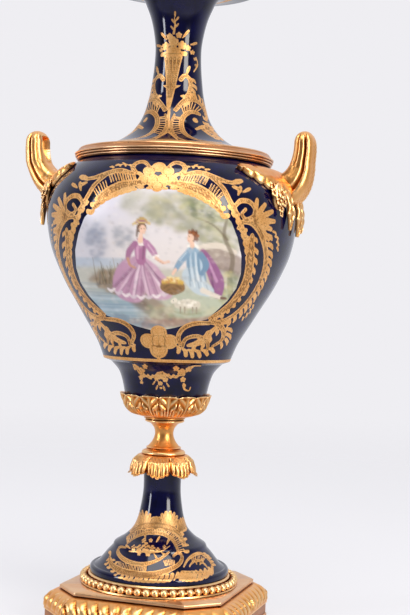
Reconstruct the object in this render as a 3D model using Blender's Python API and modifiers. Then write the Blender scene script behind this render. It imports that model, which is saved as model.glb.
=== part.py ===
"""A covered porcelain vase with gilt bronze mounts, standing on a square bronze plinth with cut corners.

Metres, +Z up, origin under the middle of the plinth. The painted front faces -Y.
Each piece that is cast, turned or fired by itself is one object.
"""

import math

import bmesh
import bpy
import numpy as np

MM = 0.001

# Fits
rest_gap = 0.3 * MM
handle_gap = 0.4 * MM
skin_gap = 0.2 * MM

# Plinth: a bronze square with cut corners, plain fascia, gadrooned band, fillet and flat top
plinth_half_width = 41.4 * MM
plinth_corner_cut = 13.6 * MM
plinth_fascia_height = 7.8 * MM
plinth_band_height = 8.5 * MM
plinth_band_reach = 6.8 * MM
plinth_fillet_height = 2.2 * MM
plinth_turn = math.radians(-11)
rib_pitch = 5.6 * MM
rib_depth = 0.8 * MM
rib_slant = 3.2 * MM
band_leaf_relief = 1.0 * MM

# Ring of pearls that the foot stands in
pearl_count = 56
pearl_radius = 2.0 * MM
pearl_neck = 0.45
pearl_margin = 3.3 * MM
pearl_lift = 0.3 * MM
pearl_ring_width = 5.0 * MM
pearl_ring_height = 6.0 * MM

# Porcelain foot
foot_base_radius = 34.2 * MM
foot_waist_radius = 9.3 * MM
foot_step_radius = 22.8 * MM
foot_dome_height = 11.0 * MM
foot_step_height = 2.6 * MM
foot_trumpet_height = 35.3 * MM
foot_wall = 3.0 * MM
foot_step_ledge = 0.6 * MM

# Bronze stem with its skirt of hanging leaves
stem_socket_depth = 5.0 * MM
skirt_radius = 16.6 * MM
skirt_drop = 8.5 * MM
skirt_height = 4.4 * MM
skirt_wall = 1.5 * MM
skirt_leaves = 8
skirt_leaf_relief = 0.8 * MM
skirt_tip_length = 2.2 * MM
collar_radius = 10.9 * MM
collar_height = 1.6 * MM
stem_height = 16.1 * MM
stem_waist_radius = 4.5 * MM
stem_top_radius = 9.6 * MM

# Bronze leaf cup under the vase
cup_foot_radius = 10.2 * MM
cup_height = 12.6 * MM
cup_lip_flare = 1.0 * MM
cup_wall = 1.6 * MM
cup_leaves = 14
cup_leaf_relief = 0.45 * MM
cup_scallop = 0.8 * MM
cup_floor = 2.9 * MM

# Porcelain vase body
body_base_radius = 11.0 * MM
body_waist_radius = 20.7 * MM
body_waist_height = 25.0 * MM
body_ledge_radius = 31.6 * MM
body_ledge_height = 1.5 * MM
body_max_radius = 62.2 * MM
body_belly_height = 71.4 * MM
body_mouth_radius = 44.8 * MM
body_shoulder_height = 27.0 * MM
body_wall = 3.0 * MM

# Bronze ring between shoulder and neck
ring_radius = 49.6 * MM
ring_top_height = 4.5 * MM
ring_lip_drop = 1.7 * MM
ring_bore_radius = 34.0 * MM

# Porcelain neck
neck_base_radius = 38.0 * MM
neck_waist_radius = 11.45 * MM
neck_waist_height = 51.5 * MM
neck_throat_height = 26.5 * MM
neck_lip_radius = 40.0 * MM
neck_lip_rise = 3.8 * MM
neck_lip_edge = 0.6 * MM
neck_wall = 2.6 * MM

# Porcelain cover with its bronze knop
lid_radius = 39.4 * MM
lid_height = 14.0 * MM
lid_edge_height = 2.0 * MM
lid_wall = 2.6 * MM
lid_flange_radius = 27.0 * MM
lid_flange_depth = 0.9 * MM
knop_radius = 6.4 * MM
knop_height = 21.0 * MM
knop_seat_radius = 7.0 * MM

# Bronze handles: a leaf spread over the shoulder, a hollow-backed horn, flower bunches and hanging tails
handle_turn = math.radians(-8)
horn_reach = 12.7 * MM
horn_height = 17.0 * MM
horn_width = 16.0 * MM
horn_depth = 7.4 * MM
horn_wall = 2.4 * MM
horn_splay = 3.7 * MM
cape_half_angle = math.radians(42)
cape_wall = 1.6 * MM
cape_ridge = 1.6 * MM
cape_tooth = 0.8 * MM
cape_corner_drop = 3.6 * MM
bunch_angle = math.radians(21)
bunch_width = 9.0 * MM
bunch_height = 13.0 * MM
bunch_depth = 6.0 * MM
bunch_lump = 0.13
tail_angle = math.radians(12)
tail_length = 18.9 * MM
tail_width = 7.0 * MM
tail_thickness = 1.8 * MM
tail_standoff = 1.3 * MM
tail_lift = 0.3 * MM

# Facets
round_steps = 24
slim_steps = 20
pearl_steps = 2

# Heights, worked out from the pieces as they stack
plinth_top = plinth_fascia_height + plinth_band_height + plinth_fillet_height
pearl_ring_base = plinth_top + rest_gap
foot_base = pearl_ring_base + pearl_ring_height + rest_gap
foot_height = foot_dome_height + foot_step_height + foot_trumpet_height
foot_top = foot_base + foot_height
stem_base = foot_top + rest_gap
collar_top = stem_base + stem_socket_depth + skirt_height
stem_top = collar_top + stem_height
cup_base = stem_top + rest_gap
body_base = cup_base + cup_floor + rest_gap
body_ledge_base = body_base + body_waist_height
body_ledge_top = body_ledge_base + body_ledge_height
body_belly = body_ledge_top + body_belly_height
body_top = body_belly + body_shoulder_height
ring_base = body_top + rest_gap
ring_top = ring_base + ring_top_height
neck_base = ring_top + rest_gap
neck_throat = neck_base + neck_waist_height
neck_lip = neck_throat + neck_throat_height + neck_lip_rise
horn_root = body_belly + 0.11 * body_shoulder_height
cape_bottom = body_belly + 0.13 * body_shoulder_height
bunch_middle = body_belly + 0.39 * body_shoulder_height
tail_root = body_belly + 0.48 * body_shoulder_height


def material(name, color, roughness, metallic):
    """A Principled material with the part's own colour."""
    made = bpy.data.materials.new(name)
    made.use_nodes = True
    shader = made.node_tree.nodes["Principled BSDF"]
    shader.inputs["Base Color"].default_value = (*color, 1)
    shader.inputs["Roughness"].default_value = roughness
    shader.inputs["Metallic"].default_value = metallic
    made.diffuse_color = (*color, 1)
    return made


def collection(name):
    """A new collection under the scene's own."""
    made = bpy.data.collections.new(name)
    bpy.context.scene.collection.children.link(made)
    return made


def smooth_through(points, per_span):
    """A smooth curve through the points, as a Catmull-Rom spline with end points doubled."""
    pts = np.array([points[0], *points, points[-1]], dtype=float)
    curve = []
    for i in range(1, len(pts) - 2):
        before, start, end, after = pts[i - 1 : i + 3]
        for step in range(per_span):
            t = step / per_span
            bend = 2 * before - 5 * start + 4 * end - after
            twist = 3 * start - before - 3 * end + after
            curve.append(tuple(start + 0.5 * t * ((end - before) + t * bend + t * t * twist)))
    curve.append(tuple(pts[-2]))
    return curve


def inner_side(points, wall):
    """The inner face of a turned wall: the outer points, top to bottom, moved in square to the curve."""
    pts = np.array(points, dtype=float)
    steps = np.diff(pts, axis=0)
    normals = np.stack([-steps[:, 1], steps[:, 0]], axis=1)
    normals /= np.linalg.norm(normals, axis=1)[:, None]
    inner = []
    for i, point in enumerate(pts):
        near = normals[max(i - 1, 0)] + normals[min(i, len(normals) - 1)]
        near /= np.linalg.norm(near)
        mitre = 1 / max(near @ normals[min(i, len(normals) - 1)], 0.7)
        inner.append(tuple(point - near * wall * mitre))
    return inner


def mesh_object(name, bm, look, group):
    """An object from a bmesh, in its group, shaded smooth up to the given crease."""
    mesh = bpy.data.meshes.new(name)
    bm.to_mesh(mesh)
    bm.free()
    mesh.materials.append(look)
    mesh.shade_smooth()
    mesh.set_sharp_from_angle(angle=math.radians(40))
    made = bpy.data.objects.new(name, mesh)
    group.objects.link(made)
    return made


def turned(name, profile, steps, look, group):
    """A solid turned from its profile of (radius, height), run down the outer side, by a Screw modifier."""
    closed = min(profile[0][0], profile[-1][0]) > 0
    count = len(profile)
    edges = [(i, i + 1) for i in range(count - 1)]
    if closed:
        edges.append((count - 1, 0))
    mesh = bpy.data.meshes.new(name)
    mesh.from_pydata([(radius, 0, height) for radius, height in profile], edges, [])
    mesh.materials.append(look)
    made = bpy.data.objects.new(name, mesh)
    group.objects.link(made)
    screw = made.modifiers.new("Turned", "SCREW")
    screw.axis = "Z"
    screw.angle = 2 * math.pi
    screw.steps = steps
    screw.render_steps = steps
    screw.use_merge_vertices = True
    screw.merge_threshold = 0.00001
    screw.use_smooth_shade = True
    return made


def spun(profile, steps):
    """A bmesh spun from a profile of (radius, height) that starts and ends on the axis or closes on itself."""
    bm = bmesh.new()
    verts = [bm.verts.new((radius, 0, height)) for radius, height in profile]
    edges = [bm.edges.new(pair) for pair in zip(verts, verts[1:])]
    if min(profile[0][0], profile[-1][0]) > 0:
        edges.append(bm.edges.new((verts[-1], verts[0])))
    bmesh.ops.spin(
        bm, geom=verts + edges, axis=(0, 0, 1), cent=(0, 0, 0), angle=2 * math.pi, steps=steps, use_merge=True
    )
    bmesh.ops.remove_doubles(bm, verts=bm.verts, dist=0.00001)
    bmesh.ops.recalc_face_normals(bm, faces=bm.faces)
    return bm


def loft(sections):
    """A closed bmesh skin over a row of sections, each a ring of as many points."""
    bm = bmesh.new()
    rings = [[bm.verts.new(point) for point in section] for section in sections]
    for lower, upper in zip(rings, rings[1:]):
        for i in range(len(lower)):
            j = (i + 1) % len(lower)
            bm.faces.new((lower[i], lower[j], upper[j], upper[i]))
    bm.faces.new(rings[0])
    bm.faces.new(rings[-1])
    bmesh.ops.recalc_face_normals(bm, faces=bm.faces)
    return bm


def joined(piece, others, helpers):
    """Unites other solids with a piece; they stay as wire guides in the helpers' collection."""
    for other in others:
        other.hide_render = True
        other.display_type = "WIRE"
        union = piece.modifiers.new(other.name, "BOOLEAN")
        union.operation = "UNION"
        union.solver = "EXACT"
        union.object = other
    return piece


# Plinth


def corner_points(half_width, cut):
    """The eight corners of a square with cut corners, anticlockwise from the front side's left end."""
    near = half_width - cut
    quarter = [(-near, -half_width), (near, -half_width)]
    points = []
    for turn in range(4):
        cos, sin = round(math.cos(turn * math.pi / 2)), round(math.sin(turn * math.pi / 2))
        points += [(x * cos - y * sin, x * sin + y * cos) for x, y in quarter]
    return points


def side_marks(length, long_side):
    """Marks along one side of the band as (place along it, relief, slant), groove to groove."""
    if not long_side:
        return [(0.0, 0.0, 0.0), (0.34, 1.0, 0.0), (0.66, 1.0, 0.0), (1.0, 0.0, 0.0)]
    ribs = max(2, int((length / 2 - rib_pitch * 0.6) / rib_pitch))
    share = rib_pitch / length
    half = []
    for rib in range(ribs):
        half += [((rib + place) * share, relief, 1.0) for place, relief in ((0, 0), (0.3, 1), (0.7, 1))]
    half.append((ribs * share, 0, 0.6))
    half[0] = (0.0, 0, 0)
    leaf = [(0.5 - 0.2 * share, 1.2, 0.0), (0.5 + 0.2 * share, 1.2, 0.0)]
    return half + leaf + [(1 - place, relief, -slant) for place, relief, slant in reversed(half)]


def plinth(look, group):
    """Solid plinth: fascia, a convex band with slanting ribs and a leaf, a fillet and the flat top."""
    bm = bmesh.new()
    cut_growth = 2 - math.sqrt(2)
    base_half = plinth_half_width + plinth_band_reach
    base_cut = plinth_corner_cut + plinth_band_reach * cut_growth
    rows = 3
    floor_ring = [bm.verts.new((x, y, 0)) for x, y in corner_points(base_half, base_cut)]
    top_ring = [
        bm.verts.new((x, y, plinth_top)) for x, y in corner_points(plinth_half_width, plinth_corner_cut)
    ]
    corner_columns = []
    for corner in range(8):
        column = []
        for row in range(rows + 1):
            angle = math.pi / 2 * row / rows
            reach = plinth_band_reach * math.cos(angle)
            height = plinth_fascia_height + plinth_band_height * math.sin(angle)
            x, y = corner_points(plinth_half_width + reach, plinth_corner_cut + reach * cut_growth)[corner]
            column.append(bm.verts.new((x, y, height)))
        corner_columns.append(column)
    for side in range(8):
        left, right = corner_columns[side], corner_columns[(side + 1) % 8]
        length = (left[0].co - right[0].co).length
        marks = side_marks(length, side % 2 == 0)
        columns = [left]
        for place, relief, slant in marks[1:-1]:
            column = []
            for row in range(rows + 1):
                angle = math.pi / 2 * row / rows
                start, end = left[row].co, right[row].co
                along = (end - start).normalized()
                out_x, out_y = along.y, -along.x
                span = (end - start).length
                shift = slant * rib_slant * math.sin(angle) * min(1, 2.5 * min(place, 1 - place))
                depth = rib_depth if slant else band_leaf_relief
                raised = relief * depth * math.sin(math.pi * row / rows)
                spot = start + along * (place * span + shift)
                out = raised * math.cos(angle)
                column.append(
                    bm.verts.new((spot.x + out_x * out, spot.y + out_y * out, spot.z + raised * math.sin(angle)))
                )
            columns.append(column)
        columns.append(right)
        for here, there in zip(columns, columns[1:]):
            for row in range(rows):
                bm.faces.new((here[row], there[row], there[row + 1], here[row + 1]))
        bottom = [floor_ring[side], floor_ring[(side + 1) % 8]]
        bm.faces.new(bottom + [column[0] for column in reversed(columns)])
        top = [top_ring[(side + 1) % 8], top_ring[side]]
        bm.faces.new([column[rows] for column in columns] + top)
    bm.faces.new(list(reversed(floor_ring)))
    bm.faces.new(top_ring)
    bmesh.ops.recalc_face_normals(bm, faces=bm.faces)
    made = mesh_object("plinth", bm, look, group)
    made.rotation_euler.z = plinth_turn
    return made


# Foot and its ring


def pearl_ring(look, group):
    """Cast ring with pearls round it: one section spun round, swelling and narrowing at each pearl."""
    ring_radius_mid = foot_base_radius + pearl_margin
    inner = foot_base_radius - pearl_ring_width
    seat = pearl_ring_base + pearl_ring_height
    pearl_height = pearl_ring_base + pearl_radius + pearl_lift
    bm = bmesh.new()
    rings = []
    for pearl in range(pearl_count):
        for step in range(pearl_steps):
            swell = pearl_neck if step == 0 else 1.0
            angle = 2 * math.pi * (pearl + step / pearl_steps) / pearl_count
            section = [
                (inner, seat),
                (inner, pearl_ring_base),
            ]
            for turn in (-65, 0, 65):
                lean = math.radians(turn)
                section.append(
                    (
                        ring_radius_mid + pearl_radius * swell * math.cos(lean),
                        pearl_height + pearl_radius * swell * math.sin(lean),
                    )
                )
            section.append((foot_base_radius + 0.4 * MM, seat))
            rings.append([bm.verts.new((r * math.cos(angle), r * math.sin(angle), z)) for r, z in section])
    for here, there in zip(rings, rings[1:] + rings[:1]):
        for i in range(len(here)):
            j = (i + 1) % len(here)
            bm.faces.new((here[i], here[j], there[j], there[i]))
    bmesh.ops.recalc_face_normals(bm, faces=bm.faces)
    return mesh_object("pearl_ring", bm, look, group)


def foot_outline():
    """The foot's outer profile from its top to its base."""
    step_top = foot_base + foot_dome_height + foot_step_height
    rise = foot_trumpet_height
    flare = foot_step_radius - foot_waist_radius
    trumpet = smooth_through(
        [
            (foot_waist_radius + 0.02 * flare, foot_top),
            (foot_waist_radius, step_top + 0.78 * rise),
            (foot_waist_radius + 0.08 * flare, step_top + 0.5 * rise),
            (foot_waist_radius + 0.31 * flare, step_top + 0.2 * rise),
            (foot_step_radius, step_top),
        ],
        2,
    )
    step_radius = foot_step_radius + foot_step_ledge
    run = foot_base_radius - step_radius
    dome = smooth_through(
        [
            (step_radius, foot_base + foot_dome_height),
            (step_radius + 0.27 * run, foot_base + 0.76 * foot_dome_height),
            (step_radius + 0.6 * run, foot_base + 0.35 * foot_dome_height),
            (foot_base_radius - foot_step_ledge, foot_base + 0.09 * foot_dome_height),
            (foot_base_radius, foot_base),
        ],
        1,
    )
    return trumpet + dome


def foot(look, group):
    """Hollow porcelain foot, open below and at the top of its neck."""
    outer = foot_outline()
    inner = [place for place in inner_side(outer, foot_wall)[3::3] if place[1] > foot_base + 0.5 * foot_wall]
    base = [(foot_base_radius - foot_wall, foot_base)]
    bore = [(foot_waist_radius - foot_wall, foot_top)]
    return turned("foot", outer + base + list(reversed(inner)) + bore, round_steps, look, group)


# Stem and leaf cup


def leaf_wave(angle, count):
    """How far a place on a ring of leaves is towards a leaf's middle: 1 there, 0 between two leaves."""
    return abs(math.cos(angle * count / 2))


def stem(look, group):
    """Turned bronze stem that ends below in a skirt of hanging leaves."""
    collar_base = collar_top - collar_height
    skirt_top = collar_base - 0.25 * collar_height
    skirt_tip = skirt_top - skirt_drop
    mouldings = smooth_through(
        [
            (stem_top_radius, stem_top),
            (stem_waist_radius + 1.5 * MM, stem_top - 0.12 * stem_height),
            (stem_waist_radius, stem_top - 0.38 * stem_height),
            (stem_waist_radius + 1.0 * MM, stem_top - 0.62 * stem_height),
            (stem_top_radius - 1.0 * MM, collar_top + collar_height),
        ],
        1,
    )
    collar = [(stem_top_radius - 0.9 * MM, collar_top + 0.7 * MM), (collar_radius - 0.7 * MM, collar_top)]
    collar += [(collar_radius, collar_top - 0.8 * MM), (collar_radius - 0.5 * MM, collar_base)]
    lie = skirt_radius - collar_radius
    leaf = [
        (collar_radius + 0.45 * lie, skirt_top - 0.15 * skirt_drop),
        (collar_radius + 0.85 * lie, skirt_top - 0.4 * skirt_drop),
        (skirt_radius, skirt_top - 0.7 * skirt_drop),
        (skirt_radius - 0.8 * MM, skirt_tip),
    ]
    back = [(radius - skirt_wall, height - 0.3 * skirt_wall) for radius, height in reversed(leaf[:-1])]
    back[-1] = (collar_radius - 0.2 * lie, stem_base + stem_socket_depth)
    seat = foot_waist_radius + skin_gap
    socket = [(seat, stem_base + 0.8 * stem_socket_depth), (seat, stem_base), (0, stem_base)]
    profile = [(0, stem_top)] + mouldings + collar + leaf + back + socket
    bm = spun(profile, skirt_leaves * 3)
    for vert in bm.verts:
        radius = math.hypot(vert.co.x, vert.co.y)
        if radius > collar_radius + 0.2 * lie and vert.co.z < skirt_top:
            wave = leaf_wave(math.atan2(vert.co.y, vert.co.x), skirt_leaves)
            reach = min(1, (skirt_top - vert.co.z) / skirt_drop)
            scale = 1 + (wave - 0.5) * skirt_leaf_relief * reach / radius
            vert.co.x *= scale
            vert.co.y *= scale
            vert.co.z -= (wave - 0.5) * skirt_tip_length * reach * reach
    return mesh_object("stem", bm, look, group)


def body_outline():
    """The vase body's outer profile from its mouth down to the edge of its flat base."""
    shoulder = []
    drop = body_shoulder_height / math.sqrt(1 - (body_mouth_radius / body_max_radius) ** 2)
    for part in range(6):
        height = body_shoulder_height * (1 - (part / 6) ** 1.4)
        radius = body_max_radius * math.sqrt(1 - (height / drop) ** 2)
        shoulder.append((radius, body_belly + height))
    spread = body_max_radius - body_ledge_radius
    belly = smooth_through(
        [
            (body_max_radius, body_belly),
            (body_ledge_radius + 0.971 * spread, body_belly - 0.13 * body_belly_height),
            (body_ledge_radius + 0.899 * spread, body_belly - 0.26 * body_belly_height),
            (body_ledge_radius + 0.784 * spread, body_belly - 0.38 * body_belly_height),
            (body_ledge_radius + 0.644 * spread, body_belly - 0.50 * body_belly_height),
            (body_ledge_radius + 0.474 * spread, body_belly - 0.62 * body_belly_height),
            (body_ledge_radius + 0.307 * spread, body_belly - 0.74 * body_belly_height),
            (body_ledge_radius + 0.124 * spread, body_belly - 0.87 * body_belly_height),
            (body_ledge_radius, body_ledge_top),
        ],
        1,
    )
    neck_in = body_ledge_radius - body_waist_radius
    waist = smooth_through(
        [
            (body_ledge_radius - 0.36 * neck_in, body_ledge_base),
            (body_ledge_radius - 0.70 * neck_in, body_ledge_base - 0.17 * body_waist_height),
            (body_ledge_radius - 0.87 * neck_in, body_ledge_base - 0.35 * body_waist_height),
            (body_waist_radius, body_ledge_base - 0.58 * body_waist_height),
        ],
        1,
    )
    return shoulder + belly + waist + body_root()


def body_root():
    """The rounded end of the body inside the leaf cup, down to its flat base."""
    root_height = 0.42 * body_waist_height
    spread = body_waist_radius - body_base_radius
    points = []
    for part in range(1, 5):
        angle = math.pi / 2 * part / 4
        radius = body_base_radius + spread * math.cos(angle) ** 0.8 if part < 4 else body_base_radius
        points.append((radius, body_base + root_height * (1 - math.sin(angle))))
    return points


def leaf_cup(look, group):
    """Bronze cup of upright leaves that holds the body's root, its rim scalloped."""
    rim = cup_base + cup_height
    inside = [(radius + rest_gap, height) for radius, height in body_root()]
    inside[-1] = (body_base_radius, body_base - rest_gap)
    lip_inside = (body_waist_radius + 2 * rest_gap, rim)
    outside = [
        (body_waist_radius + 2 * rest_gap + cup_wall * 0.7 + cup_lip_flare, rim),
        (body_waist_radius + cup_wall + cup_lip_flare, rim - 0.12 * cup_height),
        (body_waist_radius + cup_wall * 0.5, rim - 0.27 * cup_height),
        (body_waist_radius - 0.8 * MM, rim - 0.5 * cup_height),
        (body_waist_radius - 3.6 * MM, rim - 0.72 * cup_height),
        (cup_foot_radius + 2.6 * MM, cup_base + 0.1 * cup_height),
        (cup_foot_radius, cup_base),
    ]
    middle = [(0, cup_base), (0, body_base - rest_gap)]
    profile = outside + middle + list(reversed(inside)) + [lip_inside]
    bm = spun(profile, cup_leaves * 2)
    for vert in bm.verts:
        radius = math.hypot(vert.co.x, vert.co.y)
        angle = math.atan2(vert.co.y, vert.co.x)
        wave = leaf_wave(angle, cup_leaves)
        rise = max(0, (vert.co.z - cup_base) / cup_height)
        if rise > 0.98:
            vert.co.z -= (1 - wave) * cup_scallop
        elif 0.08 < rise and radius > np.interp(vert.co.z, *cup_inner_line()) + 0.5 * rest_gap:
            scale = 1 + wave * cup_leaf_relief * rise / radius
            vert.co.x *= scale
            vert.co.y *= scale
    return mesh_object("leaf_cup", bm, look, group)


def cup_inner_line():
    """Heights and radii of the cup's inner face, for telling its two faces apart."""
    line = [(radius + rest_gap, height) for radius, height in reversed(body_root())]
    line.append((body_waist_radius + 2 * rest_gap, cup_base + cup_height))
    heights = [height for radius, height in line]
    return heights, [radius for radius, height in line]


def body(look, group):
    """Hollow porcelain body, open at its mouth, with a thick floor."""
    outer = body_outline()
    floor = body_base + 1.3 * body_wall
    inner = [place for place in inner_side(outer, body_wall)[1::3] if place[1] > floor + 0.5 * body_wall]
    mouth = [(body_mouth_radius - body_wall, body_top)]
    axis = [(0, body_base), (0, floor), (0.6 * body_base_radius, floor)]
    profile = outer + axis + list(reversed(inner)) + mouth
    return turned("body", profile, round_steps, look, group)


# Shoulder ring, neck and cover


def shoulder_ring(look, group):
    """Bronze ring over the body's mouth: sloping band, reeds, and a lip that laps the shoulder."""
    outline = body_outline()
    lip_height = ring_base - ring_lip_drop
    lip_inside = shoulder_place(outline, lip_height)[0] + handle_gap
    outer = [
        (ring_radius - 2.2 * MM, ring_top),
        (ring_radius - 0.3 * MM, ring_top - 0.45 * ring_top_height),
        (ring_radius, ring_top - 0.62 * ring_top_height),
        (ring_radius - 0.5 * MM, ring_top - 0.8 * ring_top_height),
        (ring_radius - 1.0 * MM, ring_base - 0.3 * ring_lip_drop),
        (ring_radius - 1.3 * MM, lip_height),
    ]
    under = [(lip_inside, lip_height), (body_mouth_radius + handle_gap, ring_base), (ring_bore_radius, ring_base)]
    return turned("shoulder_ring", outer + under + [(ring_bore_radius, ring_top)], round_steps, look, group)


def neck_outline():
    """The neck's outer profile from the edge of its lip down to its base."""
    flare = neck_lip_radius - neck_waist_radius
    spread = neck_base_radius - neck_waist_radius
    lip_run = neck_lip - neck_throat
    mouth = [
        (neck_lip_radius, neck_lip),
        (neck_waist_radius + 0.58 * flare, neck_lip - 0.06 * lip_run),
        (neck_waist_radius + 0.29 * flare, neck_lip - 0.147 * lip_run),
        (neck_waist_radius + 0.175 * flare, neck_lip - 0.32 * lip_run),
        (neck_waist_radius + 0.09 * flare, neck_lip - 0.51 * lip_run),
        (neck_waist_radius + 0.03 * flare, neck_lip - 0.75 * lip_run),
    ]
    shaft = [
        (neck_waist_radius, neck_throat),
        (neck_waist_radius + 0.035 * spread, neck_base + 0.68 * neck_waist_height),
        (neck_waist_radius + 0.085 * spread, neck_base + 0.52 * neck_waist_height),
        (neck_waist_radius + 0.19 * spread, neck_base + 0.33 * neck_waist_height),
        (neck_waist_radius + 0.33 * spread, neck_base + 0.21 * neck_waist_height),
        (neck_waist_radius + 0.475 * spread, neck_base + 0.134 * neck_waist_height),
        (neck_waist_radius + 0.68 * spread, neck_base + 0.065 * neck_waist_height),
        (neck_base_radius, neck_base + 0.02 * neck_waist_height),
    ]
    return smooth_through(mouth, 1)[:-1] + smooth_through([mouth[-1]] + shaft, 1)


def neck(look, group):
    """Hollow porcelain neck, a trumpet that opens into a wide flat lip."""
    outer = neck_outline()
    inner = inner_side(outer, neck_wall)
    inner = inner[:3] + inner[4::2]
    inner = [(radius, height) for radius, height in inner if height > neck_base + neck_lip_edge]
    rim = neck_lip_radius + neck_lip_edge
    edge = [(rim, neck_lip + 0.7 * neck_wall), (rim, neck_lip + neck_lip_edge)]
    base = [(neck_base_radius, neck_base), (ring_bore_radius - rest_gap, neck_base)]
    return turned("neck", edge + outer + base + list(reversed(inner)), slim_steps, look, group)


def lip_top():
    """Height of the highest point of the neck's lip."""
    return max(height for radius, height in inner_side(neck_outline(), neck_wall))


def lid(look, group):
    """Low domed porcelain cover, hollow below, with a short flange that centres it in the mouth."""
    seat = lip_top() + rest_gap
    rise = lid_height - lid_edge_height
    edge = seat + lid_edge_height
    start = 1.15 * knop_seat_radius
    outer = [(0, edge + rise), (start, edge + rise)]
    for part in range(1, 6):
        angle = math.pi / 2 * part / 5
        radius = start + (lid_radius - 0.75 * lid_edge_height - start) * math.sin(angle)
        outer.append((radius, edge + rise * math.cos(angle) ** 1.3 if part < 5 else edge))
    outer += [(lid_radius, edge - 0.25 * lid_edge_height), (lid_radius, seat)]
    under = [
        (lid_flange_radius, seat),
        (lid_flange_radius, seat - rest_gap - lid_flange_depth),
        (lid_flange_radius - lid_wall, seat - rest_gap - lid_flange_depth),
        (lid_flange_radius - lid_wall, edge + 0.35 * rise),
        (0.6 * lid_flange_radius, edge + rise - 1.6 * lid_wall),
        (0, edge + rise - lid_wall),
    ]
    return turned("lid", outer + under, slim_steps, look, group)


def knop(look, group):
    """Bronze knop in the shape of a closed bud."""
    base = lip_top() + rest_gap + lid_height + rest_gap
    bud = [
        (0, base + knop_height),
        (0.2 * knop_radius, base + 0.96 * knop_height),
        (0.62 * knop_radius, base + 0.8 * knop_height),
        (0.95 * knop_radius, base + 0.6 * knop_height),
        (knop_radius, base + 0.46 * knop_height),
        (0.8 * knop_radius, base + 0.32 * knop_height),
        (0.42 * knop_radius, base + 0.23 * knop_height),
        (0.5 * knop_radius, base + 0.13 * knop_height),
        (knop_seat_radius, base + 0.09 * knop_height),
        (knop_seat_radius, base),
        (0, base),
    ]
    return turned("knop", bud, slim_steps // 2, look, group)


# Handles


def shoulder_place(outline, height):
    """Radius and outward slope of the body's surface at a height, as (radius, normal r, normal z)."""
    heights = [z for radius, z in reversed(outline)]
    radii = [radius for radius, z in reversed(outline)]
    radius = np.interp(height, heights, radii)
    near = 0.5 * MM
    rise = np.interp(height + near, heights, radii) - np.interp(height - near, heights, radii)
    length = math.hypot(2 * near, rise)
    return radius, 2 * near / length, -rise / length


def cape(outline, top, bottom):
    """The leaf that lies over the shoulder under the ring, toothed along its free edge."""
    columns, rows = 14, 4
    bm = bmesh.new()
    faces_out, faces_in = [], []
    for column in range(columns + 1):
        side = 2 * column / columns - 1
        beta = side * cape_half_angle
        reach = abs(side)
        high = top - cape_corner_drop * max(0, reach - 0.55) / 0.45
        low = bottom + (top - 1.55 * cape_corner_drop - bottom) * reach**1.25
        low += cape_tooth * (1 if column % 2 else -1) * (0.2 < reach)
        outer_column, inner_column = [], []
        for row in range(rows + 1):
            height = high + (low - high) * row / rows
            radius, out_r, out_z = shoulder_place(outline, height)
            ridge = cape_ridge * max(0, 1 - reach * 2.6) * (0 < row < rows)
            for column_list, rise in ((inner_column, handle_gap), (outer_column, handle_gap + cape_wall + ridge)):
                place = radius + out_r * rise
                column_list.append(
                    bm.verts.new((place * math.cos(beta), place * math.sin(beta), height + out_z * rise))
                )
        faces_out.append(outer_column)
        faces_in.append(inner_column)
    for shell in (faces_out, faces_in):
        for here, there in zip(shell, shell[1:]):
            for row in range(rows):
                bm.faces.new((here[row], there[row], there[row + 1], here[row + 1]))
    for outer_column, inner_column in ((faces_out[0], faces_in[0]), (faces_out[-1], faces_in[-1])):
        for row in range(rows):
            bm.faces.new((outer_column[row], outer_column[row + 1], inner_column[row + 1], inner_column[row]))
    for row in (0, rows):
        for column in range(columns):
            near, far = column, column + 1
            bm.faces.new((faces_out[near][row], faces_out[far][row], faces_in[far][row], faces_in[near][row]))
    bmesh.ops.recalc_face_normals(bm, faces=bm.faces)
    return bm


def horn(outline, splay):
    """The upright part of a handle: sections from the tails' root up to the rounded top, hollow-backed."""
    crest = ring_base + horn_height - ring_lip_drop
    reach = body_max_radius + horn_reach
    saddle = ring_base - ring_lip_drop - cape_corner_drop
    half = horn_width / 2
    # Share of the height from root to crest, share of the reach that it falls short, half width as a share, back as
    # a share of the depth (None: on the body), and how far its back is hollowed
    stations = [
        (0.00, 0.83, 1.05, None, 0),
        (0.14, 0.72, 1.3, None, 0),
        (0.26, 0.52, 1.4, None, 0),
        (0.37, 0.28, 1.3, None, 0),
        (0.46, 0.14, 1.15, None, 0),
        ("saddle", 0.09, 1.05, 2.0, 0),
        (0.60, 0.05, 1.0, 1.45, 0.2),
        (0.68, 0.02, 1.0, 1.1, 1),
        (0.78, 0.00, 1.0, 1.0, 1),
        (0.87, 0.03, 1.0, 0.9, 0.9),
        (0.945, 0.14, 0.95, 0.6, 0),
        (1.00, 0.28, 0.6, 0.2, 0),
    ]
    sections = []
    for share, short, width_share, back, hollow in stations:
        wide = width_share * half
        height = saddle if share == "saddle" else horn_root + share * (crest - horn_root)
        up = (height - horn_root) / (crest - horn_root)
        shift = splay * min(1, up / 0.6)
        front = reach + shift - short * horn_reach
        radius = shoulder_place(outline, height)[0] + handle_gap
        bevel = 0.22 * wide
        side_points = [(-1.0, bevel), (-0.6, 0.0), (0.0, -0.25 * bevel), (0.6, 0.0), (1.0, bevel)]
        ring = [(front - fall, place * wide, height) for place, fall in side_points]
        inner_wide = wide - horn_wall
        depth = hollow * (horn_depth - horn_wall)
        backs = [(wide, 0), (inner_wide, 0), (0.8 * inner_wide, depth), (0, 1.08 * depth)]
        backs += [(-0.8 * inner_wide, depth), (-inner_wide, 0), (-wide, 0)]
        for across, sunk in backs:
            if back is None:
                place = math.sqrt(max(radius**2 - across**2, 0)) + skin_gap
            else:
                place = front - back * horn_depth + sunk
            ring.append((place, across, height))
        sections.append(ring)
    return loft(sections)


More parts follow.
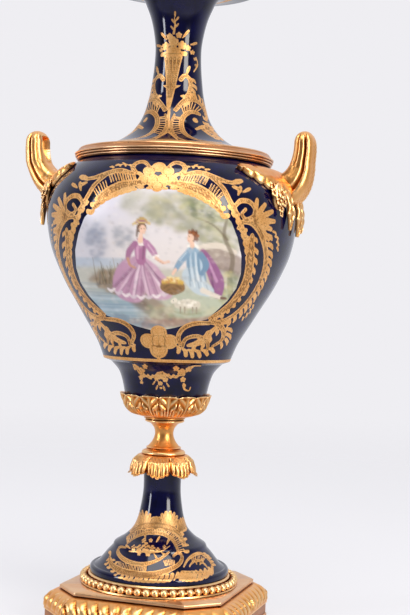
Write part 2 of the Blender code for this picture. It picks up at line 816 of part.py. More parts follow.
def bunches(outline, height):
    """A bunch of flowers on either side, as two lumpy ovals."""
    bm = bmesh.new()
    middle = shoulder_place(outline, height)[0] + handle_gap + 0.45 * bunch_depth
    for side in (-1, 1):
        made = bmesh.ops.create_uvsphere(bm, u_segments=7, v_segments=5, radius=0.5)
        for vert in made["verts"]:
            lump = 1 + bunch_lump * math.cos(9 * vert.co.z * 2) * math.cos(4 * math.atan2(vert.co.y, vert.co.x))
            x = vert.co.x * bunch_depth * lump + middle
            y = vert.co.y * bunch_width * lump
            beta = side * bunch_angle
            vert.co.x, vert.co.y = (
                x * math.cos(beta) - y * math.sin(beta),
                x * math.sin(beta) + y * math.cos(beta),
            )
            vert.co.z = vert.co.z * bunch_height * lump + height
            nearest = shoulder_place(outline, vert.co.z)[0] + handle_gap + skin_gap
            push = max(1, nearest / math.hypot(vert.co.x, vert.co.y))
            vert.co.x *= push
            vert.co.y *= push
    return bm


def tails(outline, standoff):
    """Three leaf tails that hang down beside the body, the middle one longest."""
    bm = bmesh.new()
    for side in (-1, 0, 1):
        beta = side * tail_angle
        length = tail_length + (0 if side else 0.14 * tail_length)
        rings = []
        for share, wide, thick in ((0, 0.9, 1.0), (0.4, 0.8, 1.0), (0.75, 1.0, 1.0), (1.0, 0.35, 0.7)):
            half = 0.5 * tail_width * wide
            deep = tail_thickness * thick
            height = tail_root - share * length
            inner = shoulder_place(outline, height)[0] + handle_gap + tail_lift + standoff * share
            ring = []
            for place, across in ((inner, -half), (inner + deep, -0.6 * half), (inner + deep, 0.6 * half), (inner, half)):
                ring.append(
                    bm.verts.new(
                        (
                            place * math.cos(beta) - across * math.sin(beta),
                            place * math.sin(beta) + across * math.cos(beta),
                            height,
                        )
                    )
                )
            rings.append(ring)
        for upper, lower in zip(rings, rings[1:]):
            for i in range(4):
                j = (i + 1) % 4
                bm.faces.new((upper[i], upper[j], lower[j], lower[i]))
        bm.faces.new(rings[0])
        bm.faces.new(rings[-1])
    bmesh.ops.recalc_face_normals(bm, faces=bm.faces)
    return bm


def handle(name, turn, splay, standoff, look, group, helpers):
    """One cast handle, joined from its horn, leaf, bunches and tails, and turned to its side of the vase."""
    outline = body_outline()
    leaf_top = ring_base - ring_lip_drop - 2 * handle_gap - cape_wall
    pieces = [
        mesh_object(f"{name}_cape", cape(outline, leaf_top, cape_bottom), look, helpers),
        mesh_object(f"{name}_bunches", bunches(outline, bunch_middle), look, helpers),
        mesh_object(f"{name}_tails", tails(outline, standoff), look, helpers),
    ]
    made = mesh_object(name, horn(outline, splay), look, group)
    for piece in [made] + pieces:
        piece.rotation_euler.z = turn
    return joined(made, pieces, helpers)


for old in list(bpy.data.objects):
    bpy.data.objects.remove(old, do_unlink=True)

vase = collection("covered_vase")
helpers = collection("helpers")
cobalt = material("cobalt_glaze", (0.012, 0.013, 0.085), 0.08, 0.0)
gilt = material("gilt_bronze", (0.83, 0.50, 0.19), 0.28, 1.0)

plinth(gilt, vase)
pearl_ring(gilt, vase)
foot(cobalt, vase)
stem(gilt, vase)
leaf_cup(gilt, vase)
body(cobalt, vase)
shoulder_ring(gilt, vase)
neck(cobalt, vase)
lid(cobalt, vase)
knop(gilt, vase)
handle("handle_right", handle_turn, -horn_splay, 0.0, gilt, vase, helpers)
handle("handle_left", math.pi + handle_turn, horn_splay, tail_standoff, gilt, vase, helpers)
bpy.context.view_layer.update()
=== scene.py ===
"""A covered porcelain vase, cobalt blue with gilding and a painted panel, in mounts of gilt bronze.

Metres, +Z up. The painted front faces -Y, and the vase turns about the Z axis.
"""

import math

import bmesh
import bpy
import numpy as np
from mathutils import Matrix, Vector


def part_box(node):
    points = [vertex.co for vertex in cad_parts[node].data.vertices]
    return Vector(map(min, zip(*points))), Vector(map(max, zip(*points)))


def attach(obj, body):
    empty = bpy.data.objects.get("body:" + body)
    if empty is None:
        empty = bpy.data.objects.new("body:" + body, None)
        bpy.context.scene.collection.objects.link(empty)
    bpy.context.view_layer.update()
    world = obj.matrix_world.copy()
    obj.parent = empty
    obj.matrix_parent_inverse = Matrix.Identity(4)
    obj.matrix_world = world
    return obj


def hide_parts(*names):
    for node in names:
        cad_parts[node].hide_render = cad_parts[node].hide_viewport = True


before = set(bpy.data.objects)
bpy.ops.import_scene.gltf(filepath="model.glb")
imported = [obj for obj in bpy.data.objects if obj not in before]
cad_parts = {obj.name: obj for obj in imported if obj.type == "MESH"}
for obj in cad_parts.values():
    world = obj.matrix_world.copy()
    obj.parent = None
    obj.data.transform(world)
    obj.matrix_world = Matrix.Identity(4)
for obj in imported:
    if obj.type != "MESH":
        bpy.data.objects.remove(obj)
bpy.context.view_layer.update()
scene = bpy.context.scene
scene.view_settings.view_transform = "Standard"
MM = 0.001

# Camera: level with the belly and a little to the right of the panel, close enough to see into the plinth's
# top
view_turn = math.radians(7)
view_distance = 625 * MM
view_height = 160 * MM
view_offset = 18.05 * MM
view_drop = math.radians(0.34)
view_lean = math.radians(2.15)
photo_height_px = 615
focal_px = 1250
sensor_mm = 36
camera_data = bpy.data.cameras.new("camera")
camera_data.sensor_width = sensor_mm
camera_data.lens = focal_px / photo_height_px * sensor_mm
camera_data.clip_start = 0.01
camera = bpy.data.objects.new("camera", camera_data)
scene.collection.objects.link(camera)
view_right = Vector((math.cos(view_turn), math.sin(view_turn), 0))
view_ahead = Vector((-math.sin(view_turn), math.cos(view_turn), 0))
camera.matrix_world = (
    Matrix.Translation(view_right * view_offset - view_ahead * view_distance + Vector((0, 0, view_height)))
    @ Matrix.Rotation(view_turn, 4, "Z")
    @ Matrix.Rotation(math.pi / 2 - view_drop, 4, "X")
    @ Matrix.Rotation(view_lean, 4, "Z")
)
scene.camera = camera


# Studio: a pale sweep that fades into the backdrop, a window right of the camera and a narrow one left of it.
# The room is bright behind the vase and dim behind the camera, which keeps the middle of the glaze dark.
def linear(hex_color):
    """An sRGB hex colour as linear red, green and blue."""
    values = [int(hex_color[i : i + 2], 16) / 255 for i in (0, 2, 4)]
    return [v / 12.92 if v <= 0.04045 else ((v + 0.055) / 1.055) ** 2.4 for v in values]


def add(tree, kind, settings=(), inputs=()):
    """A node with its settings and its inputs, each input a value or the socket that feeds it."""
    made = tree.nodes.new(kind)
    for name, value in dict(settings).items():
        setattr(made, name, value)
    for name, value in dict(inputs).items():
        if isinstance(value, bpy.types.NodeSocket):
            tree.links.new(value, made.inputs[name])
        else:
            made.inputs[name].default_value = value
    return made


def ramp(tree, factor, stops):
    """A colour ramp over a factor, from (place, hex colour) stops."""
    made = add(tree, "ShaderNodeValToRGB", {}, {"Fac": factor})
    elements = made.color_ramp.elements
    while len(elements) < len(stops):
        elements.new(1)
    for element, (place, color) in zip(elements, stops):
        element.position = place
        element.color = (*linear(color), 1)
    return made.outputs["Color"]


backdrop_color = "efeef2"
room_color = "e6e7ee"
world = bpy.data.worlds.new("studio")
world.use_nodes = True
scene.world = world
sky = world.node_tree
sky.nodes.clear()
direction = add(
    sky, "ShaderNodeSeparateXYZ", {}, {"Vector": add(sky, "ShaderNodeTexCoord").outputs["Generated"]}
)
behind = add(
    sky,
    "ShaderNodeMapRange",
    {"interpolation_type": "SMOOTHSTEP"},
    {"Value": direction.outputs["Y"], "From Min": -0.4, "From Max": 0.75, "To Min": 0.1, "To Max": 0.95},
)
above = add(
    sky,
    "ShaderNodeMapRange",
    {},
    {"Value": direction.outputs["Z"], "From Min": 0.2, "From Max": 1.0, "To Min": 0.0, "To Max": 0.25},
)
room = add(sky, "ShaderNodeMath", {"operation": "ADD"}, {0: behind.outputs[0], 1: above.outputs[0]})
room_light = add(
    sky, "ShaderNodeBackground", {}, {"Color": (*linear(room_color), 1), "Strength": room.outputs[0]}
)
backdrop_light = add(
    sky, "ShaderNodeBackground", {}, {"Color": (*linear(backdrop_color), 1), "Strength": 1.0}
)
ray = add(sky, "ShaderNodeLightPath")
both = add(
    sky, "ShaderNodeMixShader", {}, {
        0: ray.outputs["Is Camera Ray"], 1: room_light.outputs[0], 2: backdrop_light.outputs[0]
    }
)
add(sky, "ShaderNodeOutputWorld", {}, {"Surface": both.outputs[0]})

floor_size = 6.0
floor_fade = (0.25, 1.2)
floor_glow = 0.7
floor_seen_through = 0.6
bm = bmesh.new()
bmesh.ops.create_grid(bm, x_segments=1, y_segments=1, size=floor_size / 2)
mesh = bpy.data.meshes.new("floor")
bm.to_mesh(mesh)
bm.free()
floor = bpy.data.objects.new("floor", mesh)
scene.collection.objects.link(floor)
paper = bpy.data.materials.new("white_paper_sweep")
paper.use_nodes = True
tree = paper.node_tree
tree.nodes.clear()
place = add(tree, "ShaderNodeTexCoord").outputs["Object"]
distance = add(tree, "ShaderNodeVectorMath", {"operation": "LENGTH"}, {0: place})
fade = add(
    tree,
    "ShaderNodeMapRange",
    {"interpolation_type": "SMOOTHSTEP"},
    {"Value": distance.outputs["Value"], "From Min": floor_fade[0], "From Max": floor_fade[1]},
)
sheet = add(tree, "ShaderNodeBsdfDiffuse", {}, {"Color": (*linear("eeedf0"), 1)})
glow = add(tree, "ShaderNodeEmission", {}, {"Color": (*linear(backdrop_color), 1)})
ray = add(tree, "ShaderNodeLightPath")
lift = add(
    tree, "ShaderNodeMath", {"operation": "MULTIPLY"}, {0: ray.outputs["Is Camera Ray"], 1: floor_glow}
)
paper_seen = add(
    tree, "ShaderNodeMixShader", {}, {0: lift.outputs[0], 1: sheet.outputs[0], 2: glow.outputs[0]}
)
faint = add(
    tree, "ShaderNodeMath", {"operation": "MULTIPLY"},
    {0: ray.outputs["Is Glossy Ray"], 1: floor_seen_through}
)
gone = add(tree, "ShaderNodeMath", {"operation": "MAXIMUM"}, {0: fade.outputs[0], 1: faint.outputs[0]})
clear = add(tree, "ShaderNodeBsdfTransparent")
faded = add(
    tree, "ShaderNodeMixShader", {}, {0: gone.outputs[0], 1: paper_seen.outputs[0], 2: clear.outputs[0]}
)
add(tree, "ShaderNodeOutputMaterial", {}, {"Surface": faded.outputs[0]})
mesh.materials.append(paper)


def window_light(name, turn, height, distance, width, tall, power, color):
    """A soft rectangular light at a turn from the front, aimed at the belly."""
    data = bpy.data.lights.new(name, "AREA")
    data.shape = "RECTANGLE"
    data.size = width
    data.size_y = tall
    data.energy = power
    data.color = linear(color)
    made = bpy.data.objects.new(name, data)
    scene.collection.objects.link(made)
    made.location = (distance * math.sin(turn), -distance * math.cos(turn), height)
    aim = Vector((0, 0, view_height)) - made.location
    made.rotation_euler = aim.to_track_quat("-Z", "Y").to_euler()


window_light("window_right", math.radians(49), 0.52, 1.3, 0.46, 0.8, 14, "fffaf2")
window_light("window_left", math.radians(-62), 0.45, 1.3, 0.20, 0.9, 8, "f6f8ff")
window_light("overhead", math.radians(10), 1.25, 0.5, 0.8, 0.8, 10, "ffffff")


# Plinth: a square of gilt bronze with cut corners, cast in one piece. A plain fascia carries a swelling band
# of slanting gadroons that part at a leaf in the middle of each side, with a flat leaf on each cut corner.
def carried(name, bm, look, slot_name, *nodes):
    """The finished object of a bmesh, shaded smooth, that rides on the vase and stands for its nodes."""
    bmesh.ops.remove_doubles(bm, verts=bm.verts, dist=0.004 * MM)
    bmesh.ops.recalc_face_normals(bm, faces=bm.faces)
    made_mesh = bpy.data.meshes.new(name)
    bm.to_mesh(made_mesh)
    bm.free()
    made_mesh.materials.append(look)
    made_mesh.shade_smooth()
    made_mesh.set_sharp_from_angle(angle=math.radians(50))
    made = bpy.data.objects.new(name, made_mesh)
    scene.collection.objects.link(made)
    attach(made, "root")
    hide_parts(*nodes)
    return made


def draped(columns, rows, place):
    """A flat grid of faces carried to its shape: place turns (across, along), from 0 to 1, into points."""
    sheet_bm = bmesh.new()
    bmesh.ops.create_grid(sheet_bm, x_segments=columns, y_segments=rows, size=0.5)
    flat = np.array([vert.co for vert in sheet_bm.verts]) + 0.5
    for vert, point in zip(sheet_bm.verts, place(flat[:, 0], flat[:, 1])):
        vert.co = point
    return sheet_bm


def on_line(line, along):
    """Both coordinates of the places on a line of points, at shares of its points from 0 to 1."""
    count = len(line) - 1
    return [np.interp(along * count, np.arange(count + 1), line[:, i]) for i in (0, 1)]


def around(radius, turn, height):
    """Places at a radius and a height, turned from the front, from millimetres to metres."""
    return np.stack([radius * np.sin(turn), -radius * np.cos(turn), height], axis=1) * MM


def joined(*parts):
    """One bmesh that holds several."""
    whole = bmesh.new()
    for part in parts:
        part_mesh = bpy.data.meshes.new("part")
        part.to_mesh(part_mesh)
        part.free()
        whole.from_mesh(part_mesh)
        bpy.data.meshes.remove(part_mesh)
    return whole


def step(low, high, value):
    """0 below low, 1 above high, and smooth between."""
    share = np.clip((value - low) / (high - low), 0, 1)
    return share * share * (3 - 2 * share)


# How far apart the walls of a hollow are that still get painted shade
shaded_hollow_mm = 1.8


def gilt_bronze(name, tint, grain_mm, roughness):
    """Cast bronze, chased and fire-gilt: bright where burnished, brown in the hollows with painted shade and
    patina.
    """
    made = bpy.data.materials.new(name)
    made.use_nodes = True
    tree = made.node_tree
    tree.nodes.clear()
    place = add(tree, "ShaderNodeTexCoord").outputs["Object"]
    grain = add(
        tree, "ShaderNodeTexNoise", {}, {
            "Vector": place, "Scale": 1 / (grain_mm * MM), "Detail": 4, "Roughness": 0.6
        }
    )
    cloud = add(tree, "ShaderNodeTexNoise", {}, {"Vector": place, "Scale": 1 / (14 * MM), "Detail": 3})
    # Painted shade: pointiness darkens creases and lightens edges, ambient occlusion darkens hollows
    edges = add(tree, "ShaderNodeNewGeometry").outputs["Pointiness"]
    depth = add(
        tree, "ShaderNodeMapRange", {}, {
            "Value": edges, "From Min": 0.40, "From Max": 0.54, "To Min": 0, "To Max": 1
        }
    )
    occlusion_for_shade = add(
        tree, "ShaderNodeAmbientOcclusion", {"samples": 6}, {"Distance": shaded_hollow_mm * MM}
    ).outputs["AO"]
    unshaded_share = add(tree, "ShaderNodeMapRange", {}, {"Value": occlusion_for_shade, "From Min": 0.25, "From Max": 0.85})
    # Painted shade, with some patina, in the hollows against the burnished high points
    burnish_and_hollow_shade = add(
        tree, "ShaderNodeMath", {"operation": "MULTIPLY"}, {0: depth.outputs[0], 1: unshaded_share.outputs[0]}
    )
    mottled = add(
        tree, "ShaderNodeMath", {"operation": "MULTIPLY_ADD"}, {0: cloud.outputs[0], 1: 0.3, 2: -0.13}
    )
    shade = add(
        tree, "ShaderNodeMath", {"operation": "ADD", "use_clamp": True}, {
            0: burnish_and_hollow_shade.outputs[0], 1: mottled.outputs[0]
        }
    )
    color = ramp(tree, shade.outputs[0], tint)
    rough = add(
        tree,
        "ShaderNodeMapRange",
        {},
        {
            "Value": grain.outputs[0], "From Min": 0.3, "From Max": 0.7, "To Min": roughness - 0.05,
            "To Max": roughness + 0.1
        },
    )
    bump = add(
        tree, "ShaderNodeBump", {}, {"Strength": 0.12, "Distance": 0.1 * MM, "Height": grain.outputs[0]}
    )
    shader = add(
        tree,
        "ShaderNodeBsdfPrincipled",
        {},
        {"Base Color": color, "Metallic": 1.0, "Roughness": rough.outputs[0], "Normal": bump.outputs[0]},
    )
    add(tree, "ShaderNodeOutputMaterial", {}, {"Surface": shader.outputs[0]})
    return made


# The ramps run from painted shade in the hollows to bright burnished gold on the high points
bright_gilding = [(0.0, "42190a"), (0.28, "a8581f"), (0.5, "dc8f45"), (0.75, "f6b064"), (1.0, "ffd498")]
chased_bronze = gilt_bronze("chased_gilt_bronze", bright_gilding, 1.1, 0.33)
copper_gilding = [(0.0, "4a2110"), (0.35, "94562c"), (0.6, "c98752"), (0.85, "e2a574"), (1.0, "f3c697")]
burnished_bronze = gilt_bronze("burnished_copper_bronze", copper_gilding, 1.6, 0.32)

plinth_turn = math.radians(-11)
plinth_half_width = 41.4 * MM
plinth_corner_cut = 13.6 * MM
band_reach = 6.8 * MM
fascia_height = 7.8 * MM
band_height = 8.5 * MM
plinth_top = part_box("plinth")[1].z
gadroon_pitch = 5.6 * MM
gadroon_depth = 1.25 * MM
gadroon_slant = 3.4 * MM
plain_beside_leaf = 3.2 * MM
middle_leaf_mm = 3.4
middle_leaf_taper_mm = 2.2
corner_leaf_pitch = 6.2 * MM
flute_depth = 0.7 * MM
plate_edge = 1.7 * MM
fascia_edge = 2.0 * MM
# The section, from the foot of the fascia to the edge of the top, as (reach beyond the top's edge, height)
band_arc = [
    (
        band_reach * math.cos(math.pi / 2 * t / 14),
        fascia_height + band_height * math.sin(math.pi / 2 * t / 14)
    )
    for t in range(15)
]
plinth_section = (
    [(band_reach, 0), (band_reach, 1.2 * MM), (band_reach - 0.5 * MM, 1.5 * MM)]
    + [(band_reach - 0.5 * MM, fascia_height - 1.6 * MM), (band_reach, fascia_height - 1.2 * MM)]
    + band_arc
    + [(-0.5 * MM, plinth_top - 1.9 * MM), (0, plinth_top - 1.5 * MM), (0, plinth_top - 0.3 * MM)]
    + [(-0.3 * MM, plinth_top), (-plinth_half_width, plinth_top)]
)


def plinth_points(across, along):
    """Places round the plinth (across) and up its section (along), with the gadroons and leaves raised."""
    reach, height = on_line(np.array(plinth_section), along)
    side = np.minimum((across * 8).astype(int), 7)
    share = across * 8 - side
    long_side = side % 2 == 0
    cut_growth = 2 - math.sqrt(2)
    cut = plinth_corner_cut + np.maximum(reach, -plinth_corner_cut) * cut_growth
    half = plinth_half_width + reach
    near = np.maximum(half - cut, 0)
    cut_half = np.maximum(half - near, 0) / math.sqrt(2)
    span = np.where(long_side, near, cut_half)
    out = np.where(long_side, half, (half + near) / math.sqrt(2))
    run = (2 * share - 1) * span
    angle = side * math.pi / 4
    bulge = np.clip((height - fascia_height) / band_height, 0, 1) * (reach > 0)
    lift = np.sin(math.pi * bulge) ** 0.7 * (bulge > 0)
    slanted = np.abs(run) - gadroon_slant * bulge
    wave = np.abs(np.sin(math.pi * slanted / gadroon_pitch)) ** 0.8
    rib = np.where(np.abs(run) > plain_beside_leaf + gadroon_slant * bulge * 0.4, wave, 0)
    tip = np.clip(1 - np.abs(run) / ((middle_leaf_mm - middle_leaf_taper_mm * bulge) * MM), 0, 1) ** 0.6
    leaf = np.abs(np.cos(math.pi * run / corner_leaf_pitch)) * (0.75 + 0.25 * np.cos(bulge * 12))
    raised = np.where(long_side, np.maximum(rib, 1.3 * tip), leaf) * gadroon_depth * lift
    flute = flute_depth * np.exp(-((wave / 0.4) ** 2)) * lift * long_side
    out = out + raised - flute
    x = out * np.sin(angle) + run * np.cos(angle)
    y = -out * np.cos(angle) + run * np.sin(angle)
    turned_x = x * math.cos(plinth_turn) - y * math.sin(plinth_turn)
    turned_y = x * math.sin(plinth_turn) + y * math.cos(plinth_turn)
    return np.stack([turned_x, turned_y, height], axis=1)


bm = draped(8 * 96, 2 * (len(plinth_section) - 1), plinth_points)
bmesh.ops.holes_fill(bm, edges=[edge for edge in bm.edges if edge.is_boundary], sides=0)
plinth = carried("gadrooned_plinth", bm, chased_bronze, "gilt_bronze", "plinth")
plinth.data.materials.append(burnished_bronze)
for face in plinth.data.polygons:
    if face.center.z > plinth_top - plate_edge or face.center.z < fascia_height - fascia_edge:
        face.material_index = 1


# Ring of pearls: one bronze casting round the foot. A smooth band slopes in to the porcelain, and the pearls
# stand before it, joined by a thin wire.
pearl_count = 56
pearl_radius = 2.0 * MM
pearl_circle = 37.5 * MM
rim_drop = 1.1 * MM
ring_low, ring_high = (corner.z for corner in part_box("pearl_ring"))
ring_high -= rim_drop
ring_inner = 29.4 * MM
ring_section = [(ring_inner, ring_high), (ring_inner, ring_low), (pearl_circle + 1.5 * MM, ring_low)]
ring_section += [
    (pearl_circle + 1.3 * MM, ring_low + 0.7 * MM), (pearl_circle - 0.6 * MM, ring_low + 0.9 * MM)
]
ring_section += [
    (pearl_circle - 2.0 * MM, ring_low + 1.8 * MM), (pearl_circle - 2.4 * MM, ring_low + 3.4 * MM)
]
ring_section += [
    (pearl_circle - 2.2 * MM, ring_high - 0.9 * MM), (pearl_circle - 2.6 * MM, ring_high - 0.3 * MM)
]
ring_section += [(pearl_circle - 3.1 * MM, ring_high)]


def spun(points, arcs):
    """A profile of (radius, height) turned about Z through arcs of (angle, steps) that make a full turn."""
    profile = np.array(points)
    if profile[[0, -1], 0].min() > 0:
        profile = np.concatenate([profile, profile[:1]])
    turns = np.zeros(1)
    for angle, steps in arcs:
        turns = np.concatenate([turns, turns[-1] + angle * np.arange(1, steps + 1) / steps])
    rows = len(profile) - 1

    def place(across, along):
        turn = turns[np.rint(across * (len(turns) - 1)).astype(int)]
        radius, height = profile[np.rint(along * rows).astype(int)].T
        return np.stack([radius * np.cos(turn), radius * np.sin(turn), height], axis=1)

    turned = draped(len(turns) - 1, rows, place)
    bmesh.ops.remove_doubles(turned, verts=turned.verts, dist=0.002 * MM)
    bmesh.ops.recalc_face_normals(turned, faces=turned.faces)
    return turned


ring_bm = spun(ring_section, [(2 * math.pi, 168)])
pearls = []
for pearl in range(pearl_count):
    turn = Matrix.Rotation(2 * math.pi * pearl / pearl_count, 4, "Z")
    seat = turn @ Matrix.Translation((pearl_circle, 0, ring_low + pearl_radius + 0.2 * MM))
    pearls.append(bmesh.new())
    bmesh.ops.create_uvsphere(pearls[-1], u_segments=14, v_segments=9, radius=pearl_radius, matrix=seat)
wire = spun(
    [
        (
            pearl_circle + 0.75 * MM * math.cos(t * math.pi / 4),
            ring_low + 2.1 * MM + 0.75 * MM * math.sin(t * math.pi / 4)
        )
        for t in range(8)
    ],
    [(2 * math.pi, 112)],
)
carried("pearl_border", joined(ring_bm, *pearls, wire), chased_bronze, "gilt_bronze", "pearl_ring")


# Foot: cobalt porcelain, turned and hollow, gilded after the glaze firing. Leafy peaks rise towards its neck,
# over comb-edged arches, a spray of flowers and a scroll with a flame-leaf border.
def smooth_line(points, spacing):
    """Points about a spacing apart on a smooth curve through the given ones; repeats keep a corner."""
    pts = np.array([points[0], *points, points[-1]], dtype=float)
    line = []
    for before, start, end, after in zip(pts, pts[1:], pts[2:], pts[3:]):
        length = np.linalg.norm(end - start)
        if length == 0:
            continue
        t = np.arange(0, 1, 1 / max(1, round(length / spacing)))[:, None]
        bend = 2 * before - 5 * start + 4 * end - after
        twist = 3 * start - before - 3 * end + after
        line.append(start + 0.5 * t * ((end - before) + t * bend + t * t * twist))
    return np.concatenate(line + [pts[-1:]])


def wall(outer, thickness, spacing):
    """A turned wall's section: the outer line downwards, then its inner side back up in fewer points."""
    fine = smooth_line(outer, spacing)
    coarse = fine[:: max(1, len(fine) // 24)]
    along = np.gradient(coarse, axis=0)
    inward = np.stack([along[:, 1], -along[:, 0]], axis=1)
    inner = coarse + inward / np.linalg.norm(inward, axis=1)[:, None] * thickness
    keep = (inner[:, 1] < fine[0, 1]) & (inner[:, 1] > fine[-1, 1]) & (inner[:, 0] > 1)
    ends = [(outer[0][0] - thickness, outer[0][1])], [(outer[-1][0] - thickness, outer[-1][1])]
    section = np.concatenate([fine, ends[1], inner[keep][::-1], ends[0]])
    return [tuple(point) for point in section * MM], fine


def fine_in_front(section, arc, fine_steps, coarse_steps, front):
    """A turned piece whose mesh is fine over an arc at its gilded front, and coarse behind."""
    made = spun(section, [(math.radians(arc), fine_steps), (math.radians(360 - arc), coarse_steps)])
    middle = math.radians(90 + arc / 2)
    bmesh.ops.rotate(made, verts=made.verts, cent=(0, 0, 0), matrix=Matrix.Rotation(front - middle, 3, "Z"))
    return made


# Depth of a place that no mark reaches, in millimetres
nowhere = -9.0


class Drawing:
    """Gilding drawn as seen square on, in millimetres (across, up), and laid on a turned piece.

    Each mark is a line of places with half widths. At every vertex of the piece the drawing keeps how deep the
    place lies inside the gold, how deep it lies in the next mark, and how near a tooled line runs.
    """

    def __init__(self, made_mesh, outline, turn):
        count = len(made_mesh.vertices)
        co = np.empty(count * 3)
        made_mesh.vertices.foreach_get("co", co)
        self.mesh = made_mesh
        self.places = co.reshape(-1, 3) / MM
        order = np.argsort(outline[:, 1], kind="stable")
        self.heights = outline[order, 1]
        self.radii = outline[order, 0]
        self.turn = turn
        radius = np.hypot(self.places[:, 0], self.places[:, 1])
        wall_radius = np.interp(self.places[:, 2], self.heights, self.radii)
        self.outside = radius > wall_radius - 0.4
        self.gold = np.full(count, nowhere)
        self.under = np.full(count, nowhere)
        self.tool = np.full(count, nowhere)

    def laid(self, points, back=False):
        """Where the drawing's places lie on the piece. Near its sides they run on at an even pace."""
        edge = 0.8
        points = np.asarray(points, dtype=float)
        radius = np.interp(points[:, 1], self.heights, self.radii)
        share = points[:, 0] / radius
        seen = np.clip(share, -edge, edge)
        past = (share - seen) / math.sqrt(1 - edge**2)
        angle = np.arcsin(seen) + past + self.turn + (math.pi if back else 0)
        return np.stack([radius * np.sin(angle), -radius * np.cos(angle), points[:, 1]], axis=1)

    def mark(self, points, widths, lines=(), mirror=None, spacing=0.8, back=False):
        """One line of gold with its widths along it; lines are tooled at shares of the half width."""
        points = [tuple(point) for point in points]
        line = smooth_line(points, spacing) if len(points) > 1 else np.array(points * 2)
        half = np.interp(np.linspace(0, 1, len(line)), np.linspace(0, 1, len(widths)), widths) / 2
        drawn = [line]
        if mirror is not None:
            drawn.append(np.stack([2 * mirror - line[:, 0], line[:, 1]], axis=1))
        for one in drawn:
            self._lay(self.laid(one, back), half, lines)

    def _lay(self, path, half, lines):
        reach = half.max() + 1.5
        above = (self.places > path.min(axis=0) - reach).all(axis=1)
        below = (self.places < path.max(axis=0) + reach).all(axis=1)
        near = np.flatnonzero(above & below & self.outside)
        if not len(near):
            return
        here = self.places[near]
        depth = np.full(len(near), nowhere)
        tooled = np.full(len(near), nowhere)
        for start, end, wide_start, wide_end in zip(path, path[1:], half, half[1:]):
            run = end - start
            share = np.clip(((here - start) @ run) / max(run @ run, 1e-9), 0, 1)
            gap = np.linalg.norm(here - start - share[:, None] * run, axis=1)
            wide = wide_start + (wide_end - wide_start) * share
            depth = np.maximum(depth, wide - gap)
            for place in lines:
                tooled = np.maximum(tooled, np.where(wide > 0.3, 0.13 - np.abs(gap - place * wide), nowhere))
        older = self.gold[near]
        self.under[near] = np.maximum(self.under[near], np.minimum(older, depth))
        tooled = np.maximum(np.where(depth > older, nowhere, self.tool[near]), tooled)
        self.tool[near] = np.where(depth > -0.05, tooled, self.tool[near])
        self.gold[near] = np.maximum(older, depth)

    def petal(self, x, z, heading, length, width, mirror=None, back=False):
        """A lobe from its root at (x, z), heading in degrees from straight up, clockwise."""
        turn = math.radians(heading)
        end = (x + length * math.sin(turn), z + length * math.cos(turn))
        middle = (x + 0.5 * length * math.sin(turn), z + 0.5 * length * math.cos(turn))
        self.mark(
            [(x, z), middle, end], [0.25 * width, 0.7 * width, width, 0.7 * width], (0,), mirror, back=back
        )

    def shell(self, x, z, heading, spread, count, length, width, mirror=None, back=False):
        """Lobes that fan from one root, the middle ones longest."""
        for lobe in range(count):
            side = 2 * lobe / (count - 1) - 1
            self.petal(x, z, heading + side * spread, length * (1 - 0.22 * side * side), width, mirror, back)

    def flower(self, x, z, size, mirror=None, back=False):
        """A small open flower of five petals round a heart."""
        for petal in range(5):
            turn = 2 * math.pi * petal / 5
            place = (x + 0.3 * size * math.sin(turn), z + 0.3 * size * math.cos(turn))
            self.mark([place], [0.44 * size, 0.44 * size], (), mirror, back=back)
        self.mark([(x, z)], [0.3 * size, 0.3 * size], (), mirror, back=back)

    def flowers(self, places, back=False):
        """Flowers at places of (across, up, size)."""
        for x, z, size in places:
            self.flower(x, z, size, back=back)

    def petals(self, places, length, width):
        """Lobes of one size at places of (across, up, heading)."""
        for x, z, heading in places:
            self.petal(x, z, heading, length, width)

    def disc(self, x, z, size, lines=(), mirror=None):
        """A round spot of gold, tooled with circles at shares of its radius."""
        self.mark([(x, z)], [size, size], lines, mirror)

    def comb(self, inner, outer, count, width, mirror=None):
        """Fine teeth between two curves."""
        first = smooth_line(inner, 0.2)
        last = smooth_line(outer, 0.2)
        for tooth in range(count):
            share = (tooth + 0.5) / count
            pair = [tuple(line[int(share * (len(line) - 1))]) for line in (first, last)]
            self.mark(pair, [width, width], (), mirror)

    def fringe(self, points, count, length, width, lean, mirror=None):
        """Small lobes along a curve, leaning off to its left by lean degrees."""
        line = smooth_line(points, 0.3)
        heading = np.arctan2(*np.gradient(line, axis=0).T) - math.radians(lean)
        for lobe in range(count):
            at = int((lobe + 0.5) / count * (len(line) - 1))
            size = length * (0.6 + 0.4 * math.sin(math.pi * (lobe + 0.5) / count))
            turn = heading[at] + math.radians(lean) * 0.4 * np.array([-1, 0, 1])
            way = size * np.stack([np.sin(turn), np.cos(turn)], axis=1)
            lobe_line = [line[at] - 0.5 * way[0], line[at] + 0.3 * way[1], line[at] + 0.85 * way[2]]
            self.mark(lobe_line, [width, 1.15 * width, 0.5 * width], (), mirror)

    def band(self, height, width, lines=()):
        """A line of gold right round the piece at a height."""
        depth = width / 2 - np.abs(self.places[:, 2] - height)
        depth[~self.outside] = nowhere
        self.gold = np.maximum(self.gold, depth)
        for place in lines:
            tooled = 0.12 - np.abs(np.abs(self.places[:, 2] - height) - place * width / 2)
            self.tool = np.where(depth > 0, np.maximum(self.tool, tooled), self.tool)

    def keep(self):
        """Writes the drawing onto the mesh: gold and tool, both in millimetres, positive inside."""
        seam = 0.16 - np.abs(self.gold - self.under)
        tool = np.maximum(self.tool, np.where(self.under > 0.12, seam, nowhere))
        for name, values in (("gold", self.gold), ("tool", tool)):
            layer = self.mesh.attributes.new(name, "FLOAT", "POINT")
            layer.data.foreach_set("value", np.clip(values, -3, 3).astype(np.float32))


